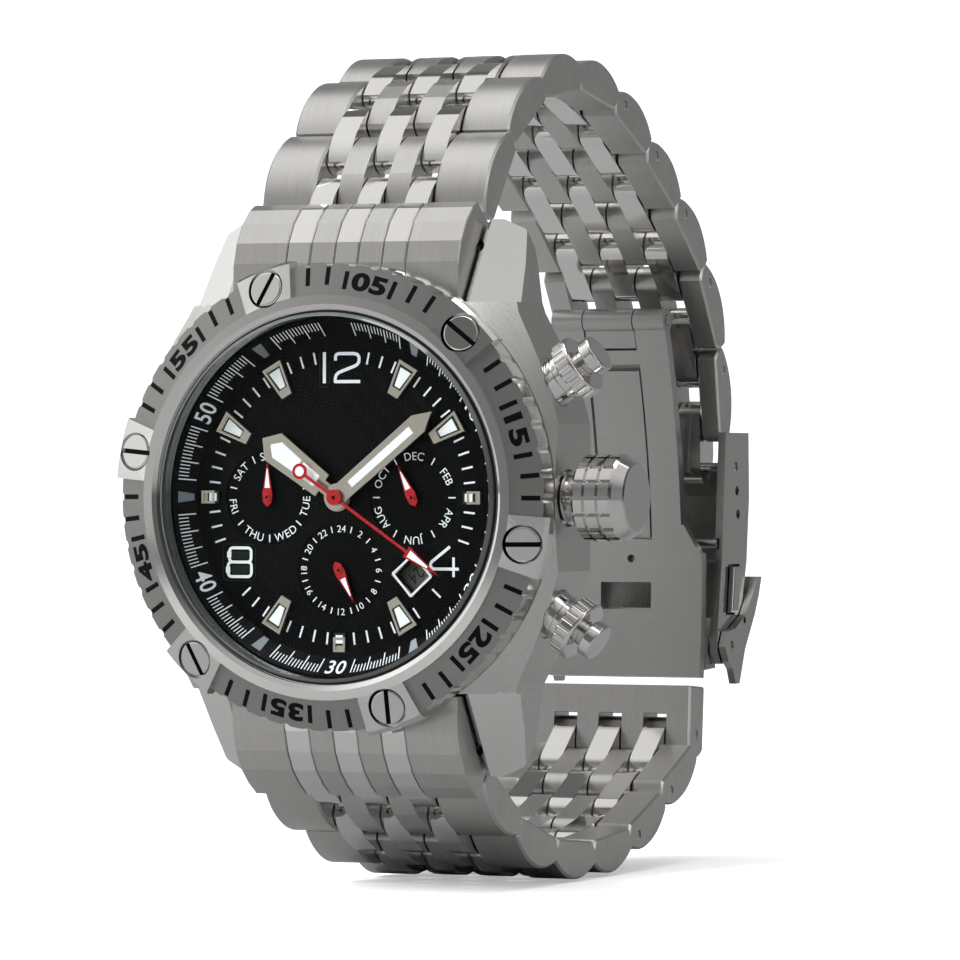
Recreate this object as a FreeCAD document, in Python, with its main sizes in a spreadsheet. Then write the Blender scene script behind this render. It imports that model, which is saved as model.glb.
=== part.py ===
import FreeCAD, Part
import math
import os
import Sketcher

# Wristwatch: case with a turning bezel, multi-hand dial, two screw-collar pushers,
# crown, brick-pattern bracelet and a folding clasp with a flip lock.
#
# Every piece is drawn in watch axes: x = 3 o'clock, y = 12 o'clock, n = out of the
# dial, with the hand axis at x = y = 0 and the dial's face at n = 0. It is then laid
# down by a quarter turn about X, so that +Z is 12 o'clock, the dial looks along -Y
# and the bracelet closes at +Y. The final origin is the centre of the crystal's
# outer face. "Side" is 1 towards 12 o'clock and -1 towards 6 o'clock.

os.makedirs("parts", exist_ok=True)
doc = FreeCAD.newDocument("wristwatch")
vec = FreeCAD.Vector
SIDES = (1, -1)

# ---------------------------------------------------------- driving dimensions
# Suffixes: _n, _x, _y are coordinates, _r radii, _deg angles clockwise from 12
# (pusher_deg is measured from the x axis).
DIMENSIONS = [
    # case
    ("case_shoulder_n", -0.40), ("case_bottom_n", -8.80), ("case_flat_x", 22.30),
    ("lug_inner_x", 12.20), ("lug_tip_y", 26.80), ("lug_break_y", 18.70),
    ("neck_outer_r", 18.45), ("neck_inner_r", 17.95), ("neck_top_n", 3.30),
    ("cavity_r", 17.40), ("crystal_seat_n", 1.95), ("barrel_r", 21.80),
    # crystal, chapter ring, dial
    ("crystal_r", 17.72), ("crystal_top_n", 3.95), ("crystal_bevel", 0.35),
    ("chapter_inner_r", 15.45), ("chapter_outer_r", 17.35), ("chapter_top_n", 1.90),
    ("dial_r", 17.20), ("dial_thick", 0.40), ("subdial_r", 4.68), ("subdial_depth", 0.12),
    ("subdial_x", 7.70), ("subdial_y", 7.00), ("window_radius", 10.66),
    ("window_side", 2.35), ("window_deg", 134.0),
    # bezel
    ("bezel_bore_r", 18.55), ("bezel_lip_r", 18.05), ("bezel_ring_r", 19.40),
    ("bezel_plate_r", 23.10), ("bezel_rim_r", 22.40), ("bezel_top_n", 3.85),
    ("bezel_under_n", -0.28), ("bezel_screw_pcd_r", 21.05), ("bezel_screw_r", 1.70),
    ("bezel_rest_deg", -18.0), ("notch_r", 0.62),
    # hands
    ("hour_tip_r", 9.80), ("minute_tip_r", 13.05), ("second_tip_r", 13.20),
    ("hand_thick", 0.20), ("hour_deg", 305.5), ("minute_deg", 51.0), ("second_deg", 124.0),
    # crown and pushers
    ("crown_n", -3.60), ("crown_r", 4.15), ("crown_start_x", 24.15), ("crown_end_x", 29.40),
    ("crown_face_r", 3.30), ("stem_r", 0.60),
    ("pusher_x", 21.10), ("pusher_y", 11.00), ("pusher_deg", 33.0),
    ("pusher_neck_r", 2.25), ("pusher_collar_r", 3.05), ("pusher_tip_r", 1.90),
    # movement
    ("plate_r", 14.00), ("rotor_r", 13.50), ("balance_r", 3.60), ("barrel_drum_r", 5.00),
    # case back
    ("back_r", 20.50), ("back_glass_r", 14.40),
    # bracelet
    ("link_pitch", 10.40), ("link_thick", 3.90), ("link_end_r", 2.48),
    ("column_pitch", 2.56), ("column_gap", 0.10), ("pin_r", 0.50), ("pin_bore_r", 0.55),
    ("link_inner_trim", 0.62), ("band_wide", 24.00), ("band_narrow", 17.40),
    # clasp
    ("clasp_half_x", 9.70), ("clasp_wall", 0.85), ("blade_thick", 1.30),
    ("blade_upper_half_x", 6.40), ("blade_lower_half_x", 8.70), ("strip_half_x", 2.80),
    ("plate_half_x", 9.10),
]
DIM = dict(DIMENSIONS)
sheet = doc.addObject("Spreadsheet::Sheet", "dims")
for row, (alias, value) in enumerate(DIMENSIONS, 1):
    sheet.set("A%d" % row, alias)
    sheet.set("B%d" % row, repr(value))
    sheet.setAlias("B%d" % row, alias)
doc.recompute()

LAY = FreeCAD.Placement(vec(0, DIM["crystal_top_n"], 0), FreeCAD.Rotation(vec(1, 0, 0), 90))


def cell(alias, offset=0.0, factor=1.0, less=None):
    """factor * alias + offset, less a second cell if given: (number, expression)."""
    value = factor * DIM[alias] + offset
    expression = "%r * dims.%s + %r" % (factor, alias, offset)
    if less:
        value -= DIM[less]
        expression += " - dims." + less
    return value, expression


def number(value):
    return value[0] if isinstance(value, tuple) else float(value)


# ------------------------------------------------------- sketches and features
def new_body(name):
    body = doc.addObject("PartDesign::Body", name)
    body.Label = name
    return body


def new_sketch(body, name, role, offset=None):
    sketch = body.newObject("Sketcher::SketchObject", name)
    plane = next(f for f in body.Origin.OriginFeatures if f.Role == role)
    sketch.AttachmentSupport = [(plane, "")]
    sketch.MapMode = "FlatFace"
    if offset is not None:
        sketch.AttachmentOffset = FreeCAD.Placement(
            vec(0, 0, number(offset)), FreeCAD.Rotation())
        if isinstance(offset, tuple):
            sketch.setExpression("AttachmentOffset.Base.z", offset[1])
    return sketch


def hold_point(sketch, geometry, point, at):
    """Holds a point from the origin, each coordinate tied to its cell."""
    for kind, value, axis in (("DistanceX", at[0], -2), ("DistanceY", at[1], -1)):
        if abs(number(value)) < 1e-9:
            sketch.addConstraint(Sketcher.Constraint("PointOnObject", geometry, point, axis))
            continue
        index = sketch.addConstraint(
            Sketcher.Constraint(kind, -1, 1, geometry, point, number(value)))
        if isinstance(value, tuple):
            sketch.setExpression("Constraints[%d]" % index, value[1])


def add_outline(sketch, points):
    """Closed outline of straight lines."""
    count = len(points)
    base = sketch.GeometryCount
    corners = [vec(number(x), number(y), 0) for x, y in points]
    for i in range(count):
        line = Part.LineSegment(corners[i], corners[(i + 1) % count])
        sketch.addGeometry(line, False)
    for i in range(count):
        sketch.addConstraint(
            Sketcher.Constraint("Coincident", base + i, 2, base + (i + 1) % count, 1))
    for i in range(count):
        hold_point(sketch, base + i, 1, points[i])


def add_circle(sketch, x, y, radius):
    circle = Part.Circle(vec(number(x), number(y), 0), vec(0, 0, 1), number(radius))
    geometry = sketch.addGeometry(circle, False)
    index = sketch.addConstraint(Sketcher.Constraint("Radius", geometry, number(radius)))
    if isinstance(radius, tuple):
        sketch.setExpression("Constraints[%d]" % index, radius[1])
    hold_point(sketch, geometry, 3, (x, y))


def set_length(feature, length):
    feature.Length = number(length)
    if isinstance(length, tuple):
        feature.setExpression("Length", length[1])


def pad(body, sketch, length, name="Pad"):
    feature = body.newObject("PartDesign::Pad", name)
    feature.Profile = (sketch, [""])
    set_length(feature, length)


def pocket(body, sketch, length=None, upward=False, name="Pocket"):
    """Cuts along the sketch's -normal (upward: +normal); through all if no length."""
    doc.recompute()
    before = body.Shape.Volume
    feature = body.newObject("PartDesign::Pocket", name)
    feature.Profile = (sketch, [""])
    if length is None:
        feature.Type = 1
    else:
        set_length(feature, length)
    feature.Reversed = upward
    doc.recompute()
    if not (0.3 * before < body.Shape.Volume < before - 1e-6):
        raise RuntimeError("%s %s cuts nothing or too much" % (body.Label, name))
    return feature


def repeat_six(body, original, sketch, name):
    """Six copies around the normal of the sketch."""
    feature = body.newObject("PartDesign::PolarPattern", name)
    feature.Originals = [original]
    feature.Axis = (sketch, ["N_Axis"])
    feature.Angle = 360.0
    feature.Occurrences = 6
    body.Tip = feature


def turned_body(name, sketch_name, points, role="XZ_Plane", axis="V_Axis"):
    """Body turned from an outline; in the XZ plane its points are (radius, n)."""
    body = new_body(name)
    sketch = new_sketch(body, sketch_name, role)
    add_outline(sketch, points)
    feature = body.newObject("PartDesign::Revolution", "Revolution")
    feature.Profile = (sketch, [""])
    feature.ReferenceAxis = (sketch, [axis])
    feature.Angle = 360.0
    return body


PIECES = []


def keep(piece, clockwise_deg=0.0, at=(0, 0, 0)):
    """Turns a piece about the dial normal, moves it, lays it down and lists it."""
    local = FreeCAD.Placement(vec(*at), FreeCAD.Rotation(vec(0, 0, 1), -clockwise_deg))
    piece.Placement = LAY.multiply(local)
    PIECES.append(piece)


def keep_shape(name, shape):
    piece = doc.addObject("Part::Feature", name)
    piece.Label = name
    piece.Shape = shape
    piece.Placement = LAY.multiply(shape.Placement)
    PIECES.append(piece)


# --------------------------------------------------------------- solid helpers
def cylinder(radius, height, x=0, y=0, low=0):
    return Part.makeCylinder(radius, height, vec(x, y, low), vec(0, 0, 1))


def ring(outer_r, inner_r, low, high, x=0, y=0):
    outer = cylinder(outer_r, high - low, x, y, low)
    return outer.cut(cylinder(inner_r, high - low + 0.2, x, y, low - 0.1))


def rod(radius, start, end):
    direction = end - start
    return Part.makeCylinder(radius, direction.Length, start, direction)


def x_rod(radius, x_start, x_end, y=0, n=0):
    return Part.makeCylinder(radius, x_end - x_start, vec(x_start, y, n), vec(1, 0, 0))


def cross_rod(radius, half_x, at):
    """Rod along x, centred on the (y, n) point at."""
    return x_rod(radius, -half_x, half_x, *at)


def box(x_min, x_max, y_min, y_max, low, high):
    return Part.makeBox(x_max - x_min, y_max - y_min, high - low, vec(x_min, y_min, low))


def prism(points, low, high):
    """Outline in (x, y), extruded along n."""
    wire = Part.makePolygon([vec(x, y, low) for x, y in points + points[:1]])
    return Part.Face(wire).extrude(vec(0, 0, high - low))


def side_prism(points, x_start, x_end):
    """Outline in (y, n), extruded along x."""
    wire = Part.makePolygon([vec(x_start, y, n) for y, n in points + points[:1]])
    return Part.Face(wire).extrude(vec(x_end - x_start, 0, 0))


def spin(shape, degrees, axis=(0, 0, 1)):
    turned = shape.copy()
    turned.rotate(vec(0, 0, 0), vec(*axis), degrees)
    return turned


def fuse(first, others):
    return first.fuse(others).removeSplitter()


def largest(shape):
    return max(shape.Solids, key=lambda solid: solid.Volume)


def clock_point(radius, degrees):
    """(x, y) at an angle clockwise from 12 o'clock."""
    angle = math.radians(degrees)
    return radius * math.sin(angle), radius * math.cos(angle)


def polar_point(radius, degrees):
    """(x, y) at an angle counter-clockwise from the x axis."""
    angle = math.radians(degrees)
    return radius * math.cos(angle), radius * math.sin(angle)


def circle_edges(shape):
    return [e for e in shape.Edges if e.Curve.TypeId == "Part::GeomCircle"]


def cross_edges(shape):
    """Edges lying in a plane of constant x."""
    return [e for e in shape.Edges if abs(e.BoundBox.XMax - e.BoundBox.XMin) < 1e-6]


def soften(shape, edges, size, chamfer=False):
    """Breaks the edges; a shape that refuses keeps its sharp edges."""
    # guards against a fillet or chamfer that fails on the given edges
    try:
        out = shape.makeChamfer(size, edges) if chamfer else shape.makeFillet(size, edges)
        if (out.isValid() and len(out.Solids) == len(shape.Solids)
                and 0.8 < out.Volume / shape.Volume < 1.001):
            return out
    except Exception:
        pass
    return shape


# ------------------------------------------------------------------------ case
BOTTOM_N = DIM["case_bottom_n"]
CROWN_N = DIM["crown_n"]
BACK_SCREWS = [clock_point(19.0, 30 + 60 * k) for k in range(6)]
SPRING_BAR_Y, SPRING_BAR_N = 23.9, -6.0
BLANK_TOP_N = 1.0
SHOULDER_SLOPE = 0.75
SHOULDER_R = 22.35      # radius of the shoulder cone at case_shoulder_n
CONE_R = 45.0           # base radius of the shoulder cone

# (x, y) of the 3 o'clock flank, from the middle to the 12 o'clock lug and inside it
FLANK = [
    (DIM["case_flat_x"], 7.00), (21.45, 9.90), (20.30, 12.60), (19.00, 15.20), (17.60, 17.70),
    (17.25, DIM["lug_break_y"]), (16.75, 22.50), (16.15, 25.60), (15.60, 26.45),
    (14.70, DIM["lug_tip_y"]), (12.9, DIM["lug_tip_y"]),
    (DIM["lug_inner_x"], 26.2), (DIM["lug_inner_x"], 17.5),
]


def spring_bar_rod(radius, half_x, side):
    return cross_rod(radius, half_x, (side * SPRING_BAR_Y, SPRING_BAR_N))


def pusher_axis(side):
    """Seat point and outward direction of a pusher."""
    seat = vec(DIM["pusher_x"], side * DIM["pusher_y"], CROWN_N)
    x, y = polar_point(1.0, DIM["pusher_deg"])
    return seat, vec(x, side * y, 0)


def pusher_rod(side, radius, start, end):
    """Rod on a pusher's axis, between two distances out from its seat point."""
    seat, outward = pusher_axis(side)
    return rod(radius, seat + outward * start, seat + outward * end)


def case_blank():
    """Barrel and both flanks, topped by a shoulder cone that falls outward."""
    right = [(x, -y) for x, y in reversed(FLANK)] + FLANK
    left = [(-x, y) for x, y in reversed(right)]
    core = cylinder(DIM["barrel_r"], BLANK_TOP_N - BOTTOM_N, 0, 0, BOTTOM_N)
    blank = fuse(core, [prism(right, BOTTOM_N, BLANK_TOP_N), prism(left, BOTTOM_N, BLANK_TOP_N)])
    shoulder = DIM["case_shoulder_n"]
    cone_base = shoulder - (CONE_R - SHOULDER_R) * SHOULDER_SLOPE
    cone = Part.makeCone(
        CONE_R, 0.0, CONE_R * SHOULDER_SLOPE, vec(0, 0, cone_base), vec(0, 0, 1))
    below_seat = cylinder(60, abs(BOTTOM_N) + 1, 0, 0, BOTTOM_N - 0.5).common(
        box(-60, 60, -60, 60, BOTTOM_N - 0.5, shoulder))
    limit = cone.common(below_seat).fuse(cylinder(60, 12, 0, 0, cone_base - 12.0))
    return blank.common(limit)


def block_above(point, normal):
    """Large block standing on the plane through point."""
    block = Part.makeBox(60, 60, 20, vec(-30, -30, 0))
    block.Placement = FreeCAD.Placement(point, FreeCAD.Rotation(vec(0, 0, 1), normal))
    return block


def lug_cutter():
    """Removes the material above, inside and under the lug at +x, +y."""
    break_y = DIM["lug_break_y"]
    # flat facet that starts at a crisp line across the flank
    along_lug = vec(0, 7.6, -5.0)
    across_lug = vec(4.6, 0, -2.9)
    normal = across_lug.cross(along_lug)
    normal.normalize()
    facet = block_above(vec(12.6, 19.0, -1.0), normal)
    facet = facet.common(box(11.0, 30, break_y, 40, -30, 20))
    # bevel along the lug's inner edge
    normal = vec(-1.0, 0.658, 1.0)
    normal.normalize()
    bevel = block_above(vec(12.95, 19.0, -1.25), normal)
    bevel = bevel.common(box(11.0, 14.2, break_y, 40, -30, 20))
    # the underside of the tip slopes up
    underside = side_prism([(24.0, -12.0), (24.0, BOTTOM_N), (27.5, BOTTOM_N + 2.2),
                            (30, BOTTOM_N + 2.2), (30, -12)], 11, 20)
    return facet.fuse([bevel, underside])


def lower_edge_cutters():
    """Slanted blocks along the lower edge of both flanks."""
    cutters = []
    for x_side in (1, -1):
        for degrees, radius in ((0, DIM["case_flat_x"]), (33, 23.9), (-33, 23.9)):
            block = Part.makeBox(6, 40, 6, vec(0, -20, -6))
            block.rotate(vec(0, 0, 0), vec(0, 1, 0), 40)
            block.translate(vec(radius - 1.1, 0, BOTTOM_N))
            block.rotate(vec(0, 0, 0), vec(0, 0, 1), degrees)
            block = block.common(box(10, 40, -18.0, 18.0, -30, 5))
            if x_side < 0:
                block = block.mirror(vec(0, 0, 0), vec(1, 0, 0))
            cutters.append(block)
    return cutters


def case_holes():
    holes = [cylinder(DIM["neck_inner_r"], 6, 0, 0, DIM["crystal_seat_n"]),
             cylinder(DIM["cavity_r"], 20, 0, 0, BOTTOM_N - 1.0),
             # crown tube
             x_rod(1.75, 15.0, 26.0, 0, CROWN_N),
             x_rod(2.75, 21.55, 26.0, 0, CROWN_N)]
    for side in SIDES:
        holes.append(pusher_rod(side, DIM["pusher_neck_r"] + 0.05, -2.6, 6.0))
        holes.append(pusher_rod(side, DIM["pusher_neck_r"] + 0.45, 0.15, 6.0))
        holes.append(pusher_rod(side, 0.85, -5.0, 0.0))
    for side in SIDES:
        holes.append(spring_bar_rod(0.48, 13.6, side))
    for x, y in BACK_SCREWS:
        holes.append(cylinder(0.72, 3.2, x, y, BOTTOM_N - 0.5))
    return holes


def make_case():
    blank = case_blank()
    lug = lug_cutter()
    for x_side in (1, -1):
        for side in SIDES:
            cutter = lug
            if x_side < 0:
                cutter = cutter.mirror(vec(0, 0, 0), vec(1, 0, 0))
            if side < 0:
                cutter = cutter.mirror(vec(0, 0, 0), vec(0, 1, 0))
            blank = blank.cut(cutter)
    blank = blank.cut(lower_edge_cutters())
    # neck for crystal and bezel
    blank = blank.fuse(
        ring(DIM["neck_outer_r"], DIM["neck_inner_r"] - 1.0, -1.0, DIM["neck_top_n"]))
    return largest(blank.cut(case_holes()))


keep_shape("case_middle", make_case())


# ------------------------------------------------------------------- case back
def make_case_back_ring():
    body = turned_body("case_back_ring", "back_profile", [
        (cell("back_glass_r", -0.45), cell("case_bottom_n", 1.15)),
        (17.25, cell("case_bottom_n", 1.15)),
        (17.25, cell("case_bottom_n", -0.05)),
        (cell("back_r"), cell("case_bottom_n", -0.05)),
        (cell("back_r"), cell("case_bottom_n", -0.75)),
        (cell("back_r", -0.7), cell("case_bottom_n", -1.3)),
        (cell("back_glass_r", 1.6), cell("case_bottom_n", -1.60)),
        (cell("back_glass_r", 0.06), cell("case_bottom_n", -1.60)),
        (cell("back_glass_r", 0.06), cell("case_bottom_n", -0.35)),
        (cell("back_glass_r", -0.45), cell("case_bottom_n", -0.35))])
    below = cell("case_bottom_n", -3.0)
    for sketch_name, radius, depth, name in (
            ("back_screw_bores", 1.32, 2.15, "ScrewSeat"),
            ("back_screw_holes", 0.80, 3.2, "ScrewHole")):
        sketch = new_sketch(body, sketch_name, "XY_Plane", below)
        add_circle(sketch, *BACK_SCREWS[0], radius)
        cut = pocket(body, sketch, depth, upward=True, name=name)
        repeat_six(body, cut, sketch, name + "s")
    sketch = new_sketch(body, "wrench_notches", "XY_Plane", below)
    add_outline(sketch, [(15.2, -1.0), (16.4, -1.0), (16.4, 1.0), (15.2, 1.0)])
    cut = pocket(body, sketch, 1.85, upward=True, name="Notch")
    repeat_six(body, cut, sketch, "Notches")
    keep(body)


def make_case_back_glass():
    glass = doc.addObject("Part::Cylinder", "case_back_glass")
    glass.Label = "case_back_glass"
    glass.setExpression("Radius", "dims.back_glass_r")
    glass.Height = 1.1
    keep(glass, at=(0, 0, BOTTOM_N - 1.50))


def make_case_back_screws():
    screws = []
    for k, (x, y) in enumerate(BACK_SCREWS):
        screw = cylinder(1.25, 0.62, x, y, BOTTOM_N - 1.50).fuse(
            cylinder(0.65, 2.9, x, y, BOTTOM_N - 0.9))
        slot = spin(box(-2, 2, -0.17, 0.17, BOTTOM_N - 1.6, BOTTOM_N - 1.15), 17 + 47 * k)
        slot.translate(vec(x, y, 0))
        screws.append(screw.cut(slot))
    return Part.makeCompound(screws)


make_case_back_ring()
make_case_back_glass()
keep_shape("case_back_screws", make_case_back_screws())


# ------------------------------------------------ crystal, gasket, ring, dial
def make_crystal():
    seat = cell("crystal_seat_n", 0.02)
    keep(turned_body("crystal", "crystal_profile", [
        (0, seat), (cell("crystal_r"), seat),
        (cell("crystal_r"), cell("crystal_top_n", less="crystal_bevel")),
        (cell("crystal_r", less="crystal_bevel"), cell("crystal_top_n")),
        (0, cell("crystal_top_n"))]))


def make_gasket():
    outer = doc.addObject("Part::Cylinder", "gasket_outer")
    outer.setExpression("Radius", "dims.neck_inner_r - 0.01")
    outer.Height = 1.3
    inner = doc.addObject("Part::Cylinder", "gasket_inner")
    inner.setExpression("Radius", "dims.crystal_r + 0.01")
    inner.Height = 3.0
    inner.Placement.Base = vec(0, 0, -0.5)
    gasket = doc.addObject("Part::Cut", "crystal_gasket")
    gasket.Label = "crystal_gasket"
    gasket.Base = outer
    gasket.Tool = inner
    keep(gasket, at=(0, 0, DIM["crystal_seat_n"] + 0.02))


def make_chapter_ring():
    keep(turned_body("chapter_ring", "chapter_profile", [
        (cell("chapter_inner_r"), 0.02), (cell("chapter_outer_r"), 0.02),
        (cell("chapter_outer_r"), cell("chapter_top_n")),
        (cell("chapter_outer_r", -0.18), cell("chapter_top_n"))]))


def window_diamond(side_length):
    """Square standing on a corner, centred on the dial window."""
    x, y = clock_point(DIM["window_radius"], DIM["window_deg"])
    half = side_length / math.sqrt(2)
    return [(x + half, y), (x, y + half), (x - half, y), (x, y - half)]


def subdial_circles(sketch, radius):
    """A circle on each subdial: at 3, 9 and 6 o'clock."""
    add_circle(sketch, cell("subdial_x"), 0, radius)
    add_circle(sketch, cell("subdial_x", factor=-1), 0, radius)
    add_circle(sketch, 0, cell("subdial_y", factor=-1), radius)


def make_dial():
    above = 0.5     # height of the cutting sketches over the dial's face
    body = new_body("dial")
    sketch = new_sketch(body, "dial_disc", "XY_Plane", cell("dial_thick", factor=-1))
    add_circle(sketch, 0, 0, cell("dial_r"))
    pad(body, sketch, cell("dial_thick"))
    sketch = new_sketch(body, "dial_holes", "XY_Plane", above)
    add_circle(sketch, 0, 0, 0.95)
    subdial_circles(sketch, 0.28)
    add_outline(sketch, window_diamond(DIM["window_side"]))
    pocket(body, sketch, name="Holes")
    sketch = new_sketch(body, "subdial_wells", "XY_Plane", above)
    subdial_circles(sketch, cell("subdial_r", -0.05))
    pocket(body, sketch, cell("subdial_depth", above), name="Wells")
    keep(body)


def shrink(points, factor):
    """Scales an outline towards the mean of its corners."""
    mid_x = sum(x for x, y in points) / len(points)
    mid_y = sum(y for x, y in points) / len(points)
    return [(mid_x + (x - mid_x) * factor, mid_y + (y - mid_y) * factor) for x, y in points]


def make_markers():
    """Trapezoid and square frames with a floor, and the open window frame."""
    base = 0.01     # underside, just over the dial
    outer = [(-0.58, 11.25), (0.58, 11.25), (1.10, 14.65), (-1.10, 14.65)]
    inner = [(-0.48, 12.05), (0.48, 12.05), (0.82, 14.38), (-0.82, 14.38)]
    trapezoid = prism(outer, base, 0.45).cut(prism(inner, 0.25, 1.0))
    outer = [(-0.62, 13.45), (0.62, 13.45), (0.62, 14.85), (-0.62, 14.85)]
    square = prism(outer, base, 0.40).cut(prism(shrink(outer, 0.66), 0.2, 1.4))
    markers = [spin(trapezoid, -30 * hour) for hour in (1, 2, 5, 7, 10, 11)]
    markers += [spin(square, -30 * hour) for hour in (3, 6, 9)]
    markers.append(prism(window_diamond(3.05), base, 0.28).cut(
        prism(window_diamond(2.55), -1, 1)))
    return Part.makeCompound(markers)


make_crystal()
make_gasket()
make_chapter_ring()
make_dial()
keep_shape("hour_markers", make_markers())


# ----------------------------------------------------------------------- bezel
def make_bezel_ring():
    body = turned_body("bezel_ring", "bezel_profile", [
        (cell("bezel_bore_r"), cell("bezel_under_n")),
        (cell("bezel_rim_r", -0.5), cell("bezel_under_n")),
        (cell("bezel_rim_r"), cell("bezel_under_n", 0.4)),
        (cell("bezel_rim_r"), 0.9), (cell("bezel_plate_r"), 1.2),
        (cell("bezel_plate_r"), 2.35), (cell("bezel_plate_r", -0.3), 2.85),
        (cell("bezel_ring_r"), cell("bezel_top_n", -0.02)),
        (cell("bezel_lip_r", 0.45), cell("bezel_top_n")),
        (cell("bezel_lip_r"), cell("bezel_top_n", -0.22)),
        (cell("bezel_lip_r"), cell("neck_top_n", 0.05)),
        (cell("bezel_bore_r"), cell("neck_top_n", 0.05))])
    doc.recompute()
    # six lowered segments, the first centred on the x axis
    sketch = new_sketch(body, "segment_recess", "XZ_Plane")
    add_outline(sketch, [
        (cell("bezel_ring_r"), cell("bezel_top_n", -0.5)), (cell("bezel_rim_r"), 2.45),
        (cell("bezel_rim_r"), 0.5), (25.0, 0.5), (25.0, 5.0), (cell("bezel_ring_r"), 5.0)])
    groove = body.newObject("PartDesign::Groove", "Segment")
    groove.Profile = (sketch, [""])
    groove.ReferenceAxis = (sketch, ["V_Axis"])
    groove.Angle = 45.2
    groove.Midplane = True
    body.Tip = groove
    axis_sketch = new_sketch(body, "segment_axis", "XY_Plane")
    add_circle(axis_sketch, 0, 0, 1.0)
    repeat_six(body, groove, axis_sketch, "Segments")
    # seven edge notches in each segment
    sketch = new_sketch(body, "coin_edge", "XY_Plane", -3.0)
    for j in range(-3, 4):
        x, y = polar_point(DIM["bezel_rim_r"] + 0.42, 6.0 * j)
        add_circle(sketch, x, y, cell("notch_r"))
    cut = pocket(body, sketch, upward=True, name="CoinEdge")
    repeat_six(body, cut, sketch, "CoinEdges")
    # screw seats midway between the segments
    sketch = new_sketch(body, "bezel_screw_seat", "XY_Plane", 6.0)
    x, y = polar_point(DIM["bezel_screw_pcd_r"], 30)
    add_circle(sketch, x, y, cell("bezel_screw_r", 0.17))
    cut = pocket(body, sketch, 3.80, name="ScrewSeat")
    repeat_six(body, cut, sketch, "ScrewSeats")
    keep(body, DIM["bezel_rest_deg"])


def make_bezel_screws():
    slot_directions = (24, 128, 90, 0, 155, 95)     # clockwise from 12
    thick = 0.60
    screws = []
    for k, direction in enumerate(slot_directions):
        angle = DIM["bezel_rest_deg"] + 60 * k
        x, y = clock_point(DIM["bezel_screw_pcd_r"], angle)
        head = cylinder(DIM["bezel_screw_r"], thick, 0, 0, -thick)
        top_edges = [e for e in head.Edges
                     if abs(e.BoundBox.ZMax) < 1e-6 and abs(e.BoundBox.ZMin) < 1e-6]
        head = soften(head, top_edges, 0.18)
        head = head.cut(spin(box(-3, 3, -0.23, 0.23, -0.40, 1), 90 - direction + angle))
        # tip the head outward with the bezel's slope
        head.rotate(vec(0, 0, 0), vec(1, 0, 0), -14.5)
        head.rotate(vec(0, 0, 0), vec(0, 0, 1), -angle)
        head.translate(vec(x, y, 3.28))
        screws.append(head)
    return Part.makeCompound(screws)


make_bezel_ring()
keep_shape("bezel_screws", make_bezel_screws())


# ----------------------------------------------------------------------- hands
def make_hand(name, points, low, thick, hubs, bore_r=None):
    """Hand pointing to 12 with its hubs, each (radius, low, high), and its bore."""
    body = new_body(name)
    sketch = new_sketch(body, name + "_outline", "XY_Plane", low)
    add_outline(sketch, points)
    pad(body, sketch, thick)
    for i, (radius, hub_low, hub_high) in enumerate(hubs):
        sketch = new_sketch(body, "hub_%d" % i, "XY_Plane", hub_low)
        add_circle(sketch, 0, 0, radius)
        pad(body, sketch, hub_high - hub_low, "Hub%d" % i)
    if bore_r:
        sketch = new_sketch(body, "bore", "XY_Plane", 5.0)
        add_circle(sketch, 0, 0, bore_r)
        pocket(body, sketch, name="Bore")
    return body


def make_hour_hand():
    points = [(-0.60, 0.9), (0.60, 0.9), (0.60, 1.95), (1.25, 1.95), (1.58, 8.4),
              (0, cell("hour_tip_r")), (-1.58, 8.4), (-1.25, 1.95), (-0.60, 1.95)]
    keep(make_hand("hour_hand", points, 0.75, cell("hand_thick"),
                   [(1.35, 0.75, 0.95), (0.85, -0.85, 0.75)], 0.62), DIM["hour_deg"])


def make_minute_hand():
    points = [(-0.95, 0.2), (0.95, 0.2), (1.02, 11.2), (0, cell("minute_tip_r")),
              (-1.02, 11.2)]
    keep(make_hand("minute_hand", points, 1.10, cell("hand_thick"),
                   [(1.20, 1.10, 1.30), (0.56, -2.2, 1.10)], 0.28), DIM["minute_deg"])


def make_seconds_hand():
    low, thick = 1.45, 0.12
    points = [(-0.16, -3.75), (0.16, -3.75), (0.13, 9.2), (0.60, 9.2),
              (0, cell("second_tip_r")), (-0.60, 9.2), (-0.13, 9.2)]
    body = make_hand("seconds_hand", points, low, thick,
                     [(0.75, low, 1.72), (0.22, -2.4, low)])
    sketch = new_sketch(body, "tail_ring", "XY_Plane", low)
    for radius in (0.76, 0.46):
        add_circle(sketch, 0, -4.46, radius)
    pad(body, sketch, thick, "TailRing")
    keep(body, DIM["second_deg"])


def make_subdial_hands():
    low = 0.32
    drop = [(-0.53, 0.25), (-0.42, -0.55), (0, -0.92), (0.42, -0.55), (0.53, 0.25),
            (0.38, 1.2), (0, 3.42), (-0.38, 1.2)]
    for name, x, y, degrees in (("day_hand", -DIM["subdial_x"], 0, 0.0),
                                ("month_hand", DIM["subdial_x"], 0, -26.0),
                                ("hour24_hand", 0, -DIM["subdial_y"], 153.0)):
        body = make_hand(name, drop, low, 0.14, [(0.34, low, 0.56), (0.20, -1.6, low)])
        keep(body, degrees, (x, y, 0))


def make_date_disc():
    """Flat ring under the dial."""
    body = new_body("date_disc")
    sketch = new_sketch(body, "date_ring", "XY_Plane", -0.88)
    add_circle(sketch, 0, 0, 12.9)
    add_circle(sketch, 0, 0, 8.75)
    pad(body, sketch, 0.30)
    keep(body)


make_hour_hand()
make_minute_hand()
make_seconds_hand()
make_subdial_hands()
make_date_disc()

# -------------------------------------------------------------------- movement
# (x, y) of the arbors
BARREL_AT = (5.6, 6.0)
BALANCE_AT = (-7.0, -6.2)
UPPER_LEFT_AT = (-5.6, 5.6)     # only bored in the plate


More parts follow.
